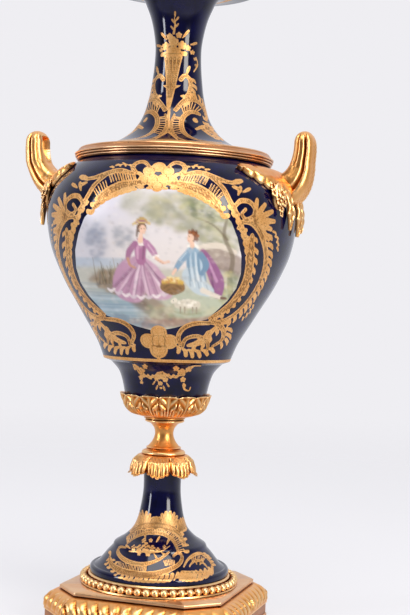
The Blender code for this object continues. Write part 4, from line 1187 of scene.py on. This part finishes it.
# Water below on the left, the bank and the pale meadow
wash("93a9b5", step(165, 157, pz) * step(-4, -16, px) * 0.85)
wash("b1b9a2", step(168, 162, pz) * step(-4, 6, px) * 0.85)
for row in range(16):
    height = 166 - 1.3 * row
    ripple = [(-40, height), (-26, height - 0.5), (-10 + row * 0.6, height - 0.1)]
    stroke(ripple, [0.5, 1.0, 0.3], ("7892a3", "bccad0", "819c9d", "5f7c8e")[row % 4], 0.4, 0.4)
stroke(
    [(-34, 168), (-26, 169), (-18, 166), (-8, 160), (0, 154), (6, 150)], [3, 7, 9, 8, 6, 3], "8b7662", 0.75,
    1.6
)
stroke([(-30, 165), (-20, 163), (-10, 157), (-2, 151)], [2, 4, 5, 3], "6a5442", 0.6, 1.2)
dabs(-20, 167, 12, 6, 170, 1.1, ["8a745c", "a38c6e", "6a5642", "b3a17f", "584636"], 0.4)
for reed in range(30):
    x = -31 + reed * 0.55
    lean = brush_rng.uniform(-3.0, 2.0)
    tall = 174 + brush_rng.uniform(-3, 4)
    stroke(
        [(x, 166), (x + lean * 0.4, 170), (x + lean, tall)], [0.6, 0.5, 0.2],
        ("6f5a42", "9a8464", "5c5a42")[reed % 3], 0.55, 0.25
    )
dabs(12, 154, 20, 5, 170, 1.3, ["a3ab8c", "c1c0a2", "8e9a7c", "b39d7c", "cfc9ac"], 0.36)
stroke([(-8, 147.5), (4, 148.6), (16, 149.6), (24, 151.5)], [4, 4, 4, 3], "966f62", 0.7, 1.0)
stroke([(-22, 151), (-10, 148), (0, 146.5)], [3, 3, 2], "74848f", 0.6, 1.0)
dabs(2, 149, 20, 2, 70, 1.0, ["7d5c50", "a98878", "c4b29c", "6c7478"], 0.35)
# Blocks of stone and the tree that leans over them
stroke([(16, 177.5), (25, 179.5), (34, 176.5)], [9, 10, 8], "9c8c82", 0.9, 0.6)
stroke([(14.5, 183.0), (25, 185), (33, 182.4)], [2.2, 3.0, 2.2], "d6cabb", 0.9, 0.4)
stroke([(17, 174), (26, 175), (34, 172)], [3.0, 3.4, 3.0], "7c6b62", 0.6, 0.8)
dabs(25, 179, 9, 4, 60, 0.9, ["b5a698", "83736a", "c9bcae"], 0.35)
stroke(
    [(32, 160), (31.0, 170), (32.0, 180), (28.0, 190), (30, 201)], [3.0, 2.4, 2.0, 1.6, 1.0], "6b5d48", 0.7,
    0.5
)
stroke([(29.4, 188), (23, 194), (14, 197.5)], [1.2, 0.8, 0.3], "6b5d48", 0.6, 0.3)
dabs(22, 201, 15, 5, 200, 1.2, ["6f7857", "959674", "b9b48c", "5b6347"], 0.42)
dabs(31, 165, 5, 9, 110, 1.1, ["8d9473", "b3b28c", "6f7a5e", "c9bd84"], 0.42)
# Shepherdess in rose, seated on the bank: gown, white petticoat, bodice, arms and straw hat
hem = [(-24 + 3.6 * i, 164.6 - 4.2 * math.sin(math.pi * (i + 1) / 10)) for i in range(9)]
stroke([(-10, 176), (-15, 171), (-16, 165.5), (-12, 162)], [6, 12, 14, 8], "b98da6", 0.97, 0.7)
stroke([(-9, 175.5), (-6, 170), (-2, 165.4), (2, 163)], [6, 12, 12, 6], "c39bb0", 0.97, 0.7)
for i, (x, z) in enumerate(hem):
    fold = [(-9.4 + 0.25 * (i - 4), 177), ((x - 9.4) / 2 + 0.8 * math.sin(i * 2.1), 170.5), (x, z)]
    stroke(fold, [0.4, 1.5, 1.0], ("8d5f7e", "dfc3cf", "a2748f", "ecd9de")[i % 4], 0.6, 0.5)
    stroke([(at_x + 0.9, at_z) for at_x, at_z in fold], [0.2, 0.6, 0.4], "6f4563", 0.45, 0.3)
for i, (x, z) in enumerate(hem):
    stroke(
        [(x - 1.6, z + 0.3), (x, z - 0.6), (x + 1.6, z + 0.3)], [0.8, 1.5, 0.8], ("eadfdc", "cfc0c6")[i % 2],
        0.8, 0.35
    )
stroke([(-9.4, 184.6), (-9.8, 180.5), (-9.4, 176.8)], [5.6, 5.2, 4.0], "a76d90", 1.0, 0.4)
stroke([(-11.2, 184), (-11.0, 178)], [1.4, 1.0], "cfa0b8", 0.8, 0.4)
stroke([(-8.0, 183.6), (-8.6, 177.6)], [1.0, 0.8], "7f4a6c", 0.7, 0.4)
stroke([(-11.6, 185.4), (-9.4, 184.2), (-7.2, 185.4)], [1.3, 1.6, 1.3], "efe5dd", 0.9, 0.35)
stroke([(-7.0, 184.8), (-4.2, 181.6), (-2.6, 178.8)], [3.0, 3.2, 2.2], "b07a9c", 0.97, 0.4)
stroke([(-6.2, 184.2), (-3.6, 180.8)], [0.7, 0.6], "d9b2c6", 0.7, 0.3)
stroke([(-3.4, 178.6), (-1.8, 179.2)], [1.6, 1.6], "efe5dd", 0.9, 0.3)
stroke([(-2.4, 178.2), (0.6, 176.4), (3.4, 176.8)], [1.5, 1.3, 0.9], flesh, 1.0, 0.3)
stroke([(-2.2, 177.5), (0.8, 175.8)], [0.4, 0.4], flesh_shade, 0.7, 0.25)
stroke([(-12.2, 184.4), (-14.8, 181), (-15.6, 178)], [2.8, 3.0, 2.0], "9c6488", 0.95, 0.4)
stroke([(-15.6, 177.6), (-14.6, 174.8), (-12.2, 173.6)], [1.4, 1.2, 0.9], flesh_shade, 1.0, 0.3)
stroke([(-9.6, 188.6), (-9.8, 185.8)], [1.7, 2.6], flesh, 1.0, 0.3)
dot(-9.3, 191.6, 4.6, "6d4a30", 1.0, 0.3)
stroke([(-8.9, 191.3), (-8.8, 190.0)], [3.1, 2.2], flesh, 1.0, 0.25)
stroke([(-13.4, 193.0), (-9.6, 194.6), (-5.6, 193.6)], [0.9, 2.2, 0.8], "cbb27c", 1.0, 0.3)
stroke([(-11.4, 194.8), (-9.4, 195.6), (-7.6, 195.0)], [1.2, 1.8, 1.2], "b8995e", 0.95, 0.3)
stroke([(-11.8, 194.0), (-9.4, 194.7), (-6.8, 194.1)], [0.5, 0.6, 0.5], "96587c", 0.9, 0.25)
stroke([(-11.2, 190.6), (-11.5, 187.6)], [1.2, 0.6], "5d3f29", 0.9, 0.3)
for x in (-9.6, -8.2):
    dot(x, 191.2, 0.45, "5f4434", 0.8, 0.2)
dot(-8.9, 189.5, 0.5, "b4635c", 0.7, 0.2)
# Her companion in blue, kneeling in front of the stone with a basket of yellow flowers
stroke([(18.6, 182), (22.4, 175), (25.5, 168), (25.5, 163)], [2.4, 5.6, 6.6, 4.0], "8f5585", 0.95, 0.5)
stroke([(20.6, 179), (25.0, 169)], [0.8, 1.4], "c496b8", 0.7, 0.4)
stroke([(22.6, 172), (23.6, 165)], [0.8, 1.0], "633a60", 0.6, 0.4)
stroke([(14.0, 181), (15.2, 175.6), (16.4, 170)], [6.4, 8.0, 7.4], "8ea8bc", 1.0, 0.5)
stroke([(13, 171), (16.5, 166.8), (21.6, 164)], [7.4, 7.6, 4.4], "b9c6cd", 0.97, 0.5)
for i in range(7):
    x = 11.8 + i * 1.15
    tone = ("5f7d96", "c8d6dd", "7590a6", "dfe6e6")[i % 4]
    stroke([(x, 181.5 - abs(i - 3) * 0.3), (x + 0.5, 175), (x + 1.6, 168.6)], [0.4, 1.0, 0.5], tone, 0.6, 0.3)
for i in range(5):
    stroke(
        [(12.4 + i * 2.0, 170.4 - i * 0.9), (13.2 + i * 2.0, 166.4 - i * 0.5)], [0.5, 0.8],
        ("8799a6", "dce2e0")[i % 2], 0.6, 0.3
    )
stroke([(12.0, 184.0), (14.2, 184.9), (16.2, 183.8)], [1.2, 1.5, 1.2], "e9e4dc", 0.95, 0.3)
stroke([(11.6, 180.6), (8.6, 177.0), (6.4, 173.4)], [2.8, 2.8, 1.9], "7f9cb3", 1.0, 0.35)
stroke([(11.2, 181.2), (8.2, 177.6)], [0.6, 0.6], "c2d2db", 0.7, 0.25)
stroke([(6.4, 173.4), (5.2, 171.4)], [1.4, 1.1], flesh, 1.0, 0.3)
stroke([(17.6, 180.6), (20.2, 176.2), (18.4, 172.0)], [2.8, 2.8, 1.9], "6f8da6", 1.0, 0.35)
stroke([(18.8, 164.4), (24, 162.4), (27.5, 161.2)], [2.6, 2.1, 1.4], "d9cfc0", 0.97, 0.35)
stroke([(27.5, 161.2), (29.2, 161.0)], [1.6, 1.0], "6a4c3a", 0.95, 0.3)
stroke([(13.6, 186.0), (13.8, 184.2)], [1.7, 2.2], flesh, 1.0, 0.3)
dot(14.0, 188.8, 4.8, "7a4526", 1.0, 0.3)
stroke([(12.9, 188.3), (12.8, 186.9)], [2.9, 2.1], flesh, 1.0, 0.25)
for x, z in ((12.4, 190.6), (13.8, 191.2), (15.4, 190.6), (16.2, 188.9), (15.8, 187.2), (14.2, 189.8)):
    dot(x, z, 1.5, ("9a5c32", "6a3a20")[int(x) % 2], 0.8, 0.3)
dot(12.2, 188.4, 0.45, "5f4434", 0.8, 0.2)
dot(12.3, 186.7, 0.45, "b4635c", 0.7, 0.2)
# Basket, flowers, and a lamb on the grass
stroke([(1.6, 165.4), (5, 164.4), (8.4, 165.4)], [4.6, 5.4, 4.6], "8d6b42", 1.0, 0.35)
stroke([(0.8, 167.6), (5, 168.4), (9.2, 167.6)], [1.8, 2.8, 1.8], "cfa94e", 0.95, 0.35)
dabs(5, 168.6, 4.4, 1.5, 44, 0.55, ["ecd27c", "cf9440", "e9dcb0", "b9735c", "f0e2a0"], 0.8)
for weave in range(5):
    stroke(
        [(1.0, 163.4 + weave * 0.8), (5, 162.6 + weave * 0.8), (9.0, 163.4 + weave * 0.8)], [0.3, 0.3],
        "5d4229", 0.6, 0.2
    )
stroke([(7.5, 157.4), (12, 158.0), (16, 157.6)], [3.4, 4.4, 3.6], "cfc7b4", 1.0, 0.4)
dabs(11.8, 158.2, 4.4, 1.7, 60, 0.6, ["efe9da", "b5aa94", "ddd5c2", "f4efe3"], 0.55)
stroke([(6.2, 159.4), (5.0, 158.8)], [2.2, 1.5], "ded6c4", 1.0, 0.3)
dot(5.4, 159.3, 0.4, "5f4a3a", 0.8, 0.2)
for leg in (8.6, 10.6, 14.2, 16.0):
    stroke([(leg, 156.2), (leg, 153.6)], [0.8, 0.5], "9c907c", 0.9, 0.25)
stroke([(6, 154.0), (12, 153.2), (18, 153.8)], [0.6, 1.4, 0.6], "8a8f6e", 0.5, 0.5)
# Fine brushwork over the whole
dabs(-3, 177, 40, 33, 620, 0.8, ["f3ece0", "7a6a60", "e9dcd2", "6c7480", "b9a58c"], 0.13)
layer = vase.data.attributes.new("painting", "FLOAT_COLOR", "POINT")
colors = np.ones((len(across), 4), dtype=np.float32)
colors[panel, :3] = paint
layer.data.foreach_set("color", colors.ravel())
layer = vase.data.attributes.new("window", "FLOAT", "POINT")
layer.data.foreach_set("value", np.clip(inside_window, -3, 3).astype(np.float32))


# Shoulder ring: turned gilt bronze with a copper tone, laid over the vase's mouth. A sloping band ends in
# three reeds and a lip that laps the shoulder.
shoulder_low, shoulder_high = (corner.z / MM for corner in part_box("shoulder_ring"))
ring_hole = 34.2
ring_under = 228.5
ring_edge = [
    (ring_hole, shoulder_high), (46.6, shoulder_high), (47.0, shoulder_high - 0.1),
    (47.5, shoulder_high - 0.6)
]
ring_edge += [(47.6, shoulder_high - 1.1), (48.0, shoulder_high - 1.3), (48.6, shoulder_high - 2.2)]
for reed in range(3):
    reed_radius = (49.4, 49.1, 48.5)[reed]
    reed_height = shoulder_high - 3.0 - 1.15 * reed
    for turn in range(-70, 71, 35):
        lean = math.radians(turn)
        ring_edge.append((reed_radius - 0.45 + 0.62 * math.cos(lean), reed_height - 0.5 * math.sin(lean)))
ring_edge += [
    (48.1, shoulder_low + 0.2), (47.9, shoulder_low), (47.2, shoulder_low), (45.2, ring_under),
    (ring_hole, ring_under)
]
bm = spun([(r * MM, z * MM) for r, z in ring_edge], [(2 * math.pi, 200)])
carried("reeded_shoulder_ring", bm, burnished_bronze, "gilt_bronze", "shoulder_ring")


# Neck: cobalt porcelain, a trumpet that opens into a wide flat lip, gilded with a torch of flowers that rises
# between knobbed scrolls, over combed arches that run round its spreading base.
neck_low, neck_high = (corner.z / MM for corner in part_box("neck"))
neck_shape = [
    (40.5, neck_high - 0.3), (40.5, 315.9), (40.0, 315.2), (34.0, 314.3), (28.0, 313.2), (22.6, 311.8),
    (19.4, 310.2)
]
neck_shape += [
    (17.6, 307.6), (16.4, 305.0), (14.2, 299.4), (12.5, 292.4), (11.5, 284.8), (11.7, 276), (12.5, 268),
    (13.7, 260)
]
neck_shape += [
    (16.5, 250.3), (20.2, 244.1), (24.1, 240.2), (29.5, 236.8), (35.0, 234.9), (37.9, 234.2), (38.0, neck_low)
]
neck_front = math.radians(4.5)
section, neck_line = wall(neck_shape, 2.6, 0.46)
bm = fine_in_front(section, 160, 190, 90, neck_front)
neck = carried("turned_neck", bm, cobalt_glaze, "cobalt_glaze", "neck")
gilding = Drawing(neck.data, neck_line, neck_front)
torch = -1.8
# Torch: a fluted cone with a rim, flowers above
gilding.mark([(torch - 1.0, 252.5), (torch - 0.3, 266), (torch, 279)], [1.6, 5.2, 9.4])
for flute in (-0.62, -0.2, 0.2, 0.62):
    gilding.mark(
        [(torch - 0.8 + flute, 256), (torch - 0.2 + flute * 3, 268), (torch + flute * 5, 278)],
        [0.5, 0.9, 1.5], (0.9,)
    )
gilding.mark([(torch - 5.6, 280.0), (torch + 6.0, 280.4)], [2.2, 2.2], (0.0,))
gilding.flowers(
    ((-5.6, 284.0, 4.2), (-1.8, 286.0, 5.0), (2.4, 284.4, 4.4), (5.4, 283.4, 3.0), (-3.8, 288.6, 3.2))
)
gilding.flowers(
    ((0.8, 289.2, 3.0), (7.6, 281.6, 2.4), (9.0, 278.6, 1.9), (9.4, 275.6, 1.5), (-8.0, 282.4, 2.2))
)
for x, z, heading, length in (
    (-5, 287, -42, 4.6), (-7.4, 284, -70, 3.4), (2.6, 288, 38, 4.6), (6.4, 285, 62, 3.4)
):
    gilding.petal(x, z, heading, length, 1.5)
gilding.petals(
    ((-1.6, 291.4, -40), (-1.2, 292.6, 40), (-1.4, 294.6, -36), (-1.1, 295.6, 36), (-1.3, 297.6, 0)), 2.4, 1.1
)
gilding.mark([(torch, 290), (torch + 0.6, 294), (torch + 0.2, 297.5)], [1.2, 0.9, 0.4])
# Knobbed scrolls on either side, and the leaves that tie them
scroll = [(2.6, 267.6), (4.6, 269.6), (7.0, 267.8), (7.3, 263.4), (5.8, 258.8), (2.8, 255.2), (0.2, 252.0)]
gilding.mark(scroll, [2.4, 2.0, 2.2, 2.2, 2.0, 1.8, 1.2], (0.5,), torch)
gilding.fringe([(8.4, 268.6), (9.2, 264), (7.6, 258.4), (4.4, 254.4)], 6, 2.6, 1.6, 45, torch)
gilding.petal(2.4, 264.4, 250, 3.4, 1.6, torch)
gilding.petal(5.0, 270.0, 20, 4.4, 1.8, torch)
gilding.mark([(8.6, 272.2), (10.2, 276.0), (9.4, 279.6)], [0.7, 1.0, 0.5], (), torch)
# Combed arches and the large C-scrolls on the spreading base
arch = [(1.0, 251.6), (4.6, 256.6), (9.4, 258.0), (13.8, 255.0), (15.6, 250.2)]
gilding.mark(arch, [1.4, 2.2, 2.4, 2.2, 1.4], (0.5,), torch)
gilding.comb(
    [(4.6, 250.6), (7.6, 253.0), (11.6, 252.4)], [(3.4, 253.4), (8.0, 256.6), (13.4, 254.0)], 8, 0.6, torch
)
gilding.fringe([(16.8, 249.6), (15.6, 255.2), (10.4, 259.4), (4.0, 258.6)], 8, 3.0, 1.8, -48, torch)
low_scroll = [
    (12.4, 251.0), (8.2, 251.6), (4.8, 248.6), (4.2, 244.0), (6.4, 239.6), (11.0, 236.8), (17.5, 235.6),
    (24, 236.2)
]
gilding.mark(low_scroll, [1.8, 2.4, 2.6, 2.6, 2.6, 2.4, 2.2, 1.4], (0.5,), torch)
gilding.disc(10.6, 247.4, 3.0, (), torch)
gilding.comb(
    [(0.2, 248.6), (-0.2, 243.6), (2.4, 238.6)], [(3.4, 248.4), (3.2, 243.8), (5.4, 239.6)], 9, 0.6, torch
)
gilding.mark([(0.4, 249.6), (-0.8, 243.4), (2.2, 237.6), (8.0, 234.9)], [1.0, 1.8, 1.8, 1.0], (0.5,), torch)
for heading, length in ((70, 7.5), (95, 8.5), (122, 7.0)):
    gilding.petal(14.0, 243.0, heading, length, 3.0, torch)
gilding.mark([(11.4, 242.6), (15.0, 244.6), (18.5, 242.8)], [1.4, 2.2, 1.4], (0.0,), torch)
gilding.fringe([(26, 239.6), (20.6, 240.0), (16.0, 246.2), (15.0, 250.0)], 7, 2.8, 1.9, 55, torch)
gilding.mark([(torch - 0.6, 253), (torch - 0.6, 246), (torch - 0.6, 240)], [1.2, 1.6, 1.2], (0.0,))
gilding.mark([(torch - 0.4, 240.6), (torch + 3.2, 237.4), (torch + 5.4, 235.2)], [1.2, 1.2, 0.8], (), torch)
# The back: a spray between two scrolls, plainer
gilding.mark([(0, 243), (0, 262), (0, 280)], [2.4, 3.4, 1.2], (0.0,), back=True)
for height in (250, 257, 264, 271):
    for heading in (-48, 48):
        gilding.petal(0, height, heading, 7.0, 2.4, back=True)
gilding.mark(
    [(4, 246), (10, 250), (12, 244), (8, 239.4), (14, 236.8)], [1.4, 2.4, 2.4, 2.2, 1.4], (0.5,), 0, back=True
)
# Lines of gold round the base, the throat and the lip
gilding.band(234.6, 1.0)
gilding.band(313.0, 1.0)
gilding.band(316.6, 1.6)
gilding.keep()


# Cover: cobalt porcelain, a low hollow dome with a flange that drops into the neck's mouth and a gilt edge.
lid_low, lid_high = (corner.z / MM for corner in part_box("lid"))
lid_seat = lid_low + 1.2
lid_shape = [
    (0, lid_high), (7.4, lid_high), (8.2, lid_high - 0.1), (14.5, lid_high - 0.9), (20.5, lid_high - 2.5)
]
lid_shape += [
    (26.4, lid_high - 4.9), (31.4, lid_high - 7.6), (35.2, lid_high - 10.0), (37.6, lid_high - 11.6)
]
lid_shape += [(39.0, lid_high - 12.4), (39.3, lid_high - 13.0), (39.2, lid_seat), (38.6, lid_seat)]
lid_line = smooth_line(lid_shape, 0.5)
lid_under = [
    (27.0, lid_seat), (27.0, lid_low), (24.4, lid_low), (24.4, lid_seat + 3.2), (16.0, lid_high - 4.4),
    (0, lid_high - 2.6)
]
bm = spun([(r * MM, z * MM) for r, z in [*lid_line, *lid_under]], [(2 * math.pi, 220)])
lid = carried("domed_cover", bm, cobalt_glaze, "cobalt_glaze", "lid")
gilding = Drawing(lid.data, lid_line[::-1], neck_front)
gilding.band(lid_high - 12.6, 1.5, (0.4,))
gilding.band(lid_high - 10.6, 0.6)
gilding.band(lid_high - 0.5, 0.8)
for turn in range(12):
    gilding.turn = neck_front + turn * math.pi / 6
    gilding.mark(
        [(-7.2, lid_high - 9.4), (-3.8, lid_high - 6.4), (0, lid_high - 5.4)], [0.8, 2.0, 2.2], (0.4,), 0
    )
    gilding.petal(0, lid_high - 8.6, 0, 3.6, 3.6)
    gilding.petal(0, lid_high - 4.9, 0, 1.4, 3.0)
gilding.keep()


# Knop: cast gilt bronze, a closed bud whose six leaves wrap upwards from a turned collar.
knop_low, knop_high = (corner.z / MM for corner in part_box("knop"))
knop_leaves = 6
bud = [
    (0, knop_high), (0.9, knop_high - 0.4), (2.6, knop_high - 2.2), (4.6, knop_high - 5.4),
    (5.9, knop_high - 9.0)
]
bud += [(6.2, knop_high - 11.4), (5.4, knop_high - 13.8), (3.6, knop_high - 15.6), (2.9, knop_high - 16.4)]
bud += [(3.4, knop_high - 17.2), (4.6, knop_high - 18.0), (6.3, knop_high - 18.6), (6.9, knop_high - 19.4)]
bud += [(6.9, knop_low), (0, knop_low)]
bud_line = np.concatenate([smooth_line(bud[:-1], 0.35), [bud[-1]]])


def knop_points(across, along):
    """The bud from its tip to its base, with overlapping leaves raised on it."""
    radius, height = on_line(bud_line, along)
    turn = across * 2 * math.pi
    rise = (height - (knop_high - 16)) / 16
    half = (turn * knop_leaves / (2 * math.pi) + 0.5 * rise) % 1 - 0.5
    swell = np.sqrt(np.clip(1 - (half / 0.5) ** 2, 0, 1))
    vein = 0.35 * np.exp(-((half / 0.06) ** 2))
    leafy = step(0.0, 0.2, rise) * step(1.02, 0.8, rise)
    radius = np.maximum(radius + (0.6 * swell - 0.45 + vein) * leafy * (radius > 0.5), 0)
    return around(radius, turn, height)


bm = draped(96, len(bud_line) - 1, knop_points)
bmesh.ops.remove_doubles(bm, verts=bm.verts, dist=0.01 * MM)
carried("bud_knop", bm, chased_bronze, "gilt_bronze", "knop")


# Handles: gilt bronze, each cast in one. A horn-shaped strap, grooved and hollow at its back, springs from a
# toothed acanthus leaf over the shoulder. Bunches of flowers and three long husks hang from it.
vase_order = np.argsort(body_line[:, 1], kind="stable")
horn_path = [
    (54.0, 213.6), (59.6, 215.0), (64.6, 218.8), (68.2, 225.2), (69.6, 232.4), (69.75, 238.6), (69.7, 243.7)
]
horn_half_width = [8.4, 10.6, 9.8, 8.4, 8.0, 8.0, 8.0]
horn_half_depth = [8.4, 8.2, 6.8, 5.7, 5.15, 4.9, 4.9]
cape_spread = math.radians(40.5)
cape_high, cape_low = 224.4, 207.7
cape_teeth = 15
husk_turn = math.radians(12)
bunch_turn = math.radians(20.5)
bunch_middle = 210
bunch_circle = 62
splay_foot = 204.2
splay_height = 23.76
horn_tip = 6.0
# The flowers of a bunch, as (across, height, size)
bunch = [(-2.4, 215.0, 4.2), (2.2, 214.6, 4.4), (0, 211.4, 5.4), (-4.0, 211.6, 3.8), (4.0, 211.0, 3.8)]
bunch += [(-1.8, 207.6, 4.2), (2.2, 207.4, 4.0), (0, 204.2, 3.6), (0.4, 201.6, 2.4)]


def vase_surface(height):
    """Radius of the vase's outer face at a height, in millimetres."""
    return np.interp(height, body_line[vase_order, 1], body_line[vase_order, 0])


def sleeve(columns, rows, line, half_width, half_depth, relief):
    """A closed limb along a line of (out, up), its section a rounded box that relief(side, face, along)
    shapes: it gives how far the skin is raised and what share of the width is lost."""
    path = smooth_line(line, 0.4)
    slope = np.gradient(path, axis=0)
    slope /= np.linalg.norm(slope, axis=1)[:, None]
    knots = np.linspace(0, 1, len(half_width))

    def place(across, along):
        x, z = on_line(path, along)
        rise_x, rise_z = on_line(slope, along)
        turn = across * 2 * math.pi
        squareness = (np.abs(np.sin(turn)) ** 3.2 + np.abs(np.cos(turn)) ** 3.2) ** (1 / 3.2)
        side = np.sin(turn) / squareness
        face = np.cos(turn) / squareness
        wide = np.interp(along, knots, half_width)
        deep = np.interp(along, knots, half_depth)
        raised, slimmed = relief(side, face, along)
        out = deep * face + raised
        return np.stack([x + out * rise_z, wide * side * (1 - slimmed), z - out * rise_x], axis=1) * MM

    limb = draped(columns, rows, place)
    bmesh.ops.remove_doubles(limb, verts=limb.verts, dist=0.002 * MM)
    bmesh.ops.holes_fill(limb, edges=[edge for edge in limb.edges if edge.is_boundary], sides=0)
    return limb


def strap_relief(side, face, along):
    """The horn's modelling: two strands parted by a groove down each flank, a grained outer face, and a
    hollow in its inner face like a long drop, with a rolled rim."""
    outer = step(0.1, 0.6, face)
    inner = step(0.1, 0.6, -face)
    flank = step(0.5, 0.85, np.abs(side)) * step(0.98, 0.86, along)
    parting = 0.17 * np.exp(-(((face - 0.3) / 0.13) ** 2)) * step(0.05, 0.25, along)
    rim_line = 0.09 * np.exp(-(((face + 0.45) / 0.1) ** 2)) * step(0.4, 0.6, along)
    rib = 0.6 * np.exp(-((side / 0.2) ** 2))
    grain = 0.2 * np.sin(side * 26) * np.sin(along * 130) * (np.abs(side) < 0.6)
    opening = 0.3 + 0.34 * step(0.5, 0.8, along)
    drop = np.clip(1 - (side / opening) ** 2, 0, 1) ** 0.6 * step(0.48, 0.8, along) * step(0.93, 0.88, along)
    return outer * (rib + grain) * step(0.93, 0.8, along) + 6.6 * inner * drop, flank * (parting + rim_line)


def rounded_end(limb, top, length):
    """Draws the last stretch of a limb in to a round end."""
    for vert in limb.verts:
        past = np.clip((vert.co.z / MM - (top - length)) / length, 0, 1)
        shrink = math.sqrt(max(1 - past * past, 0.0))
        vert.co.y *= shrink
        vert.co.x += (1 - shrink) * (horn_path[-1][0] * MM - vert.co.x)


def cape_points(across, along):
    """The leaf over the shoulder, outside and then back along its underside: a rounded rib along each wing, a
    lower edge of rolled lobes, and a smaller lobe over each wing."""
    side = 2 * across - 1
    reach = np.abs(side)
    outside = along <= 0.8
    down = np.where(outside, along / 0.8, (1 - along) / 0.2)
    notch = np.exp(-(((reach - 0.68) / 0.035) ** 2))
    high = cape_high - 1.5 * notch - 2.2 * step(0.86, 1, reach) ** 2
    lobe = np.abs((side * cape_teeth / 2) % 1 - 0.5) * 2
    low = cape_low + 14.2 * reach**1.75 + 1.1 * (lobe**2 - 0.5) * step(
        0.1, 0.25, reach
    ) * step(1, 0.94, reach)
    height = high + (low - high) * down
    belly = np.sin(math.pi * np.clip(down, 0, 1)) ** 0.5
    slant = np.abs((side * cape_teeth / 2 + 1.6 * (1 - down) * np.sign(side)) % 1 - 0.5) * 2
    valleys = 0.45 * slant**2 * step(0.45, 0.9, down)
    rolls = 0.3 * np.cos(2 * math.pi * 1.6 * down)
    thick = 3.6 - 1.6 * reach
    raised = np.where(outside, 0.7 + thick * belly + (rolls - valleys) * belly, 0.35)
    radius = vase_surface(height) + raised
    turn = side * cape_spread
    return np.stack(
        [radius * np.cos(turn), radius * np.sin(turn), height + 0.3 * raised * outside], axis=1
    ) * MM


def husk_relief(side, face, along):
    """A hanging husk: a rib down the middle and cross-cut leaflets on either side."""
    rib = 0.55 * np.exp(-((side / 0.16) ** 2))
    leaflets = 0.35 * np.abs(np.sin(math.pi * (along * 5 + np.abs(side) * 0.8)))
    return (rib + leaflets) * step(0.1, 0.6, face), 0.1 * np.abs(np.sin(math.pi * along * 5))


def floret(seat, size):
    """A small cast flower: five round petals about a bead, on a seat matrix whose X points out."""
    made = bmesh.new()
    for petal in range(6):
        turn = 2 * math.pi * petal / 5
        spot = (
            0, size * 0.36 * math.cos(turn), size * 0.36 * math.sin(turn)
        ) if petal < 5 else (size * 0.16, 0, 0)
        shape = Matrix.Diagonal((0.5, 1, 1, 1)) if petal < 5 else Matrix.Identity(4)
        radius = size * (0.27 if petal < 5 else 0.17)
        spot = seat @ Matrix.Translation(Vector(spot) * MM) @ shape
        bmesh.ops.create_uvsphere(made, u_segments=10, v_segments=6, radius=radius * MM, matrix=spot)
    return made


def handle_mesh(turn, splay, standoff):
    """One whole handle in its place on the shoulder."""
    strap = sleeve(132, 150, horn_path, horn_half_width, horn_half_depth, strap_relief)
    rounded_end(strap, horn_path[-1][1], horn_tip)
    for vert in strap.verts:
        lift = np.clip((vert.co.z / MM - splay_foot) / splay_height, 0, 1)
        vert.co.x += splay * lift * MM
    leaf = draped(240, 40, cape_points)
    parts = [strap, leaf]
    for side in (-1, 0, 1):
        length = 18.9 + (0 if side else 2.4)
        levels = [213.6 - length * share for share in (0, 0.25, 0.5, 0.75, 0.93, 1)]
        line = [(vase_surface(z) + 1.9 + standoff * i / 5, z) for i, z in enumerate(levels)][::-1]
        husk = sleeve(
            28, 60, line, [0.4, 1.7, 3.4, 2.4, 3.3, 3.0], [0.5, 0.9, 1.1, 1.1, 1.3, 1.2], husk_relief
        )
        bmesh.ops.rotate(
            husk, verts=husk.verts, cent=(0, 0, 0), matrix=Matrix.Rotation(side * husk_turn, 3, "Z")
        )
        parts.append(husk)
    for side in (-1, 1):
        for x, z, size in bunch:
            beta = side * bunch_turn + x / bunch_circle
            bulge = 1.8 + 2.4 * math.exp(-(((z - 211) / 4.5) ** 2)) * math.exp(-((x / 4) ** 2))
            seat = Matrix.Rotation(beta, 4, "Z") @ Matrix.Translation(
                ((vase_surface(z) + bulge) * MM, 0, z * MM)
            )
            parts.append(floret(seat @ Matrix.Rotation(math.radians(-14), 4, "Y"), size))
        heart = Matrix.Translation(((vase_surface(bunch_middle) + 1.4) * MM, 0, bunch_middle * MM))
        core = Matrix.Rotation(side * bunch_turn, 4, "Z") @ heart
        core = core @ Matrix.Diagonal((2.4, 4.2, 6.4, 1))
        parts.append(bmesh.new())
        bmesh.ops.create_uvsphere(parts[-1], u_segments=20, v_segments=14, radius=MM, matrix=core)
    whole = joined(*parts)
    bmesh.ops.rotate(whole, verts=whole.verts, cent=(0, 0, 0), matrix=Matrix.Rotation(turn, 3, "Z"))
    return whole


handle_turn = math.radians(-8)
carried(
    "horn_handle_right", handle_mesh(handle_turn, -3.7, 0.0), chased_bronze, "gilt_bronze", "handle_right"
)
carried(
    "horn_handle_left", handle_mesh(math.pi + handle_turn, 3.7, 1.3), chased_bronze, "gilt_bronze",
    "handle_left"
)
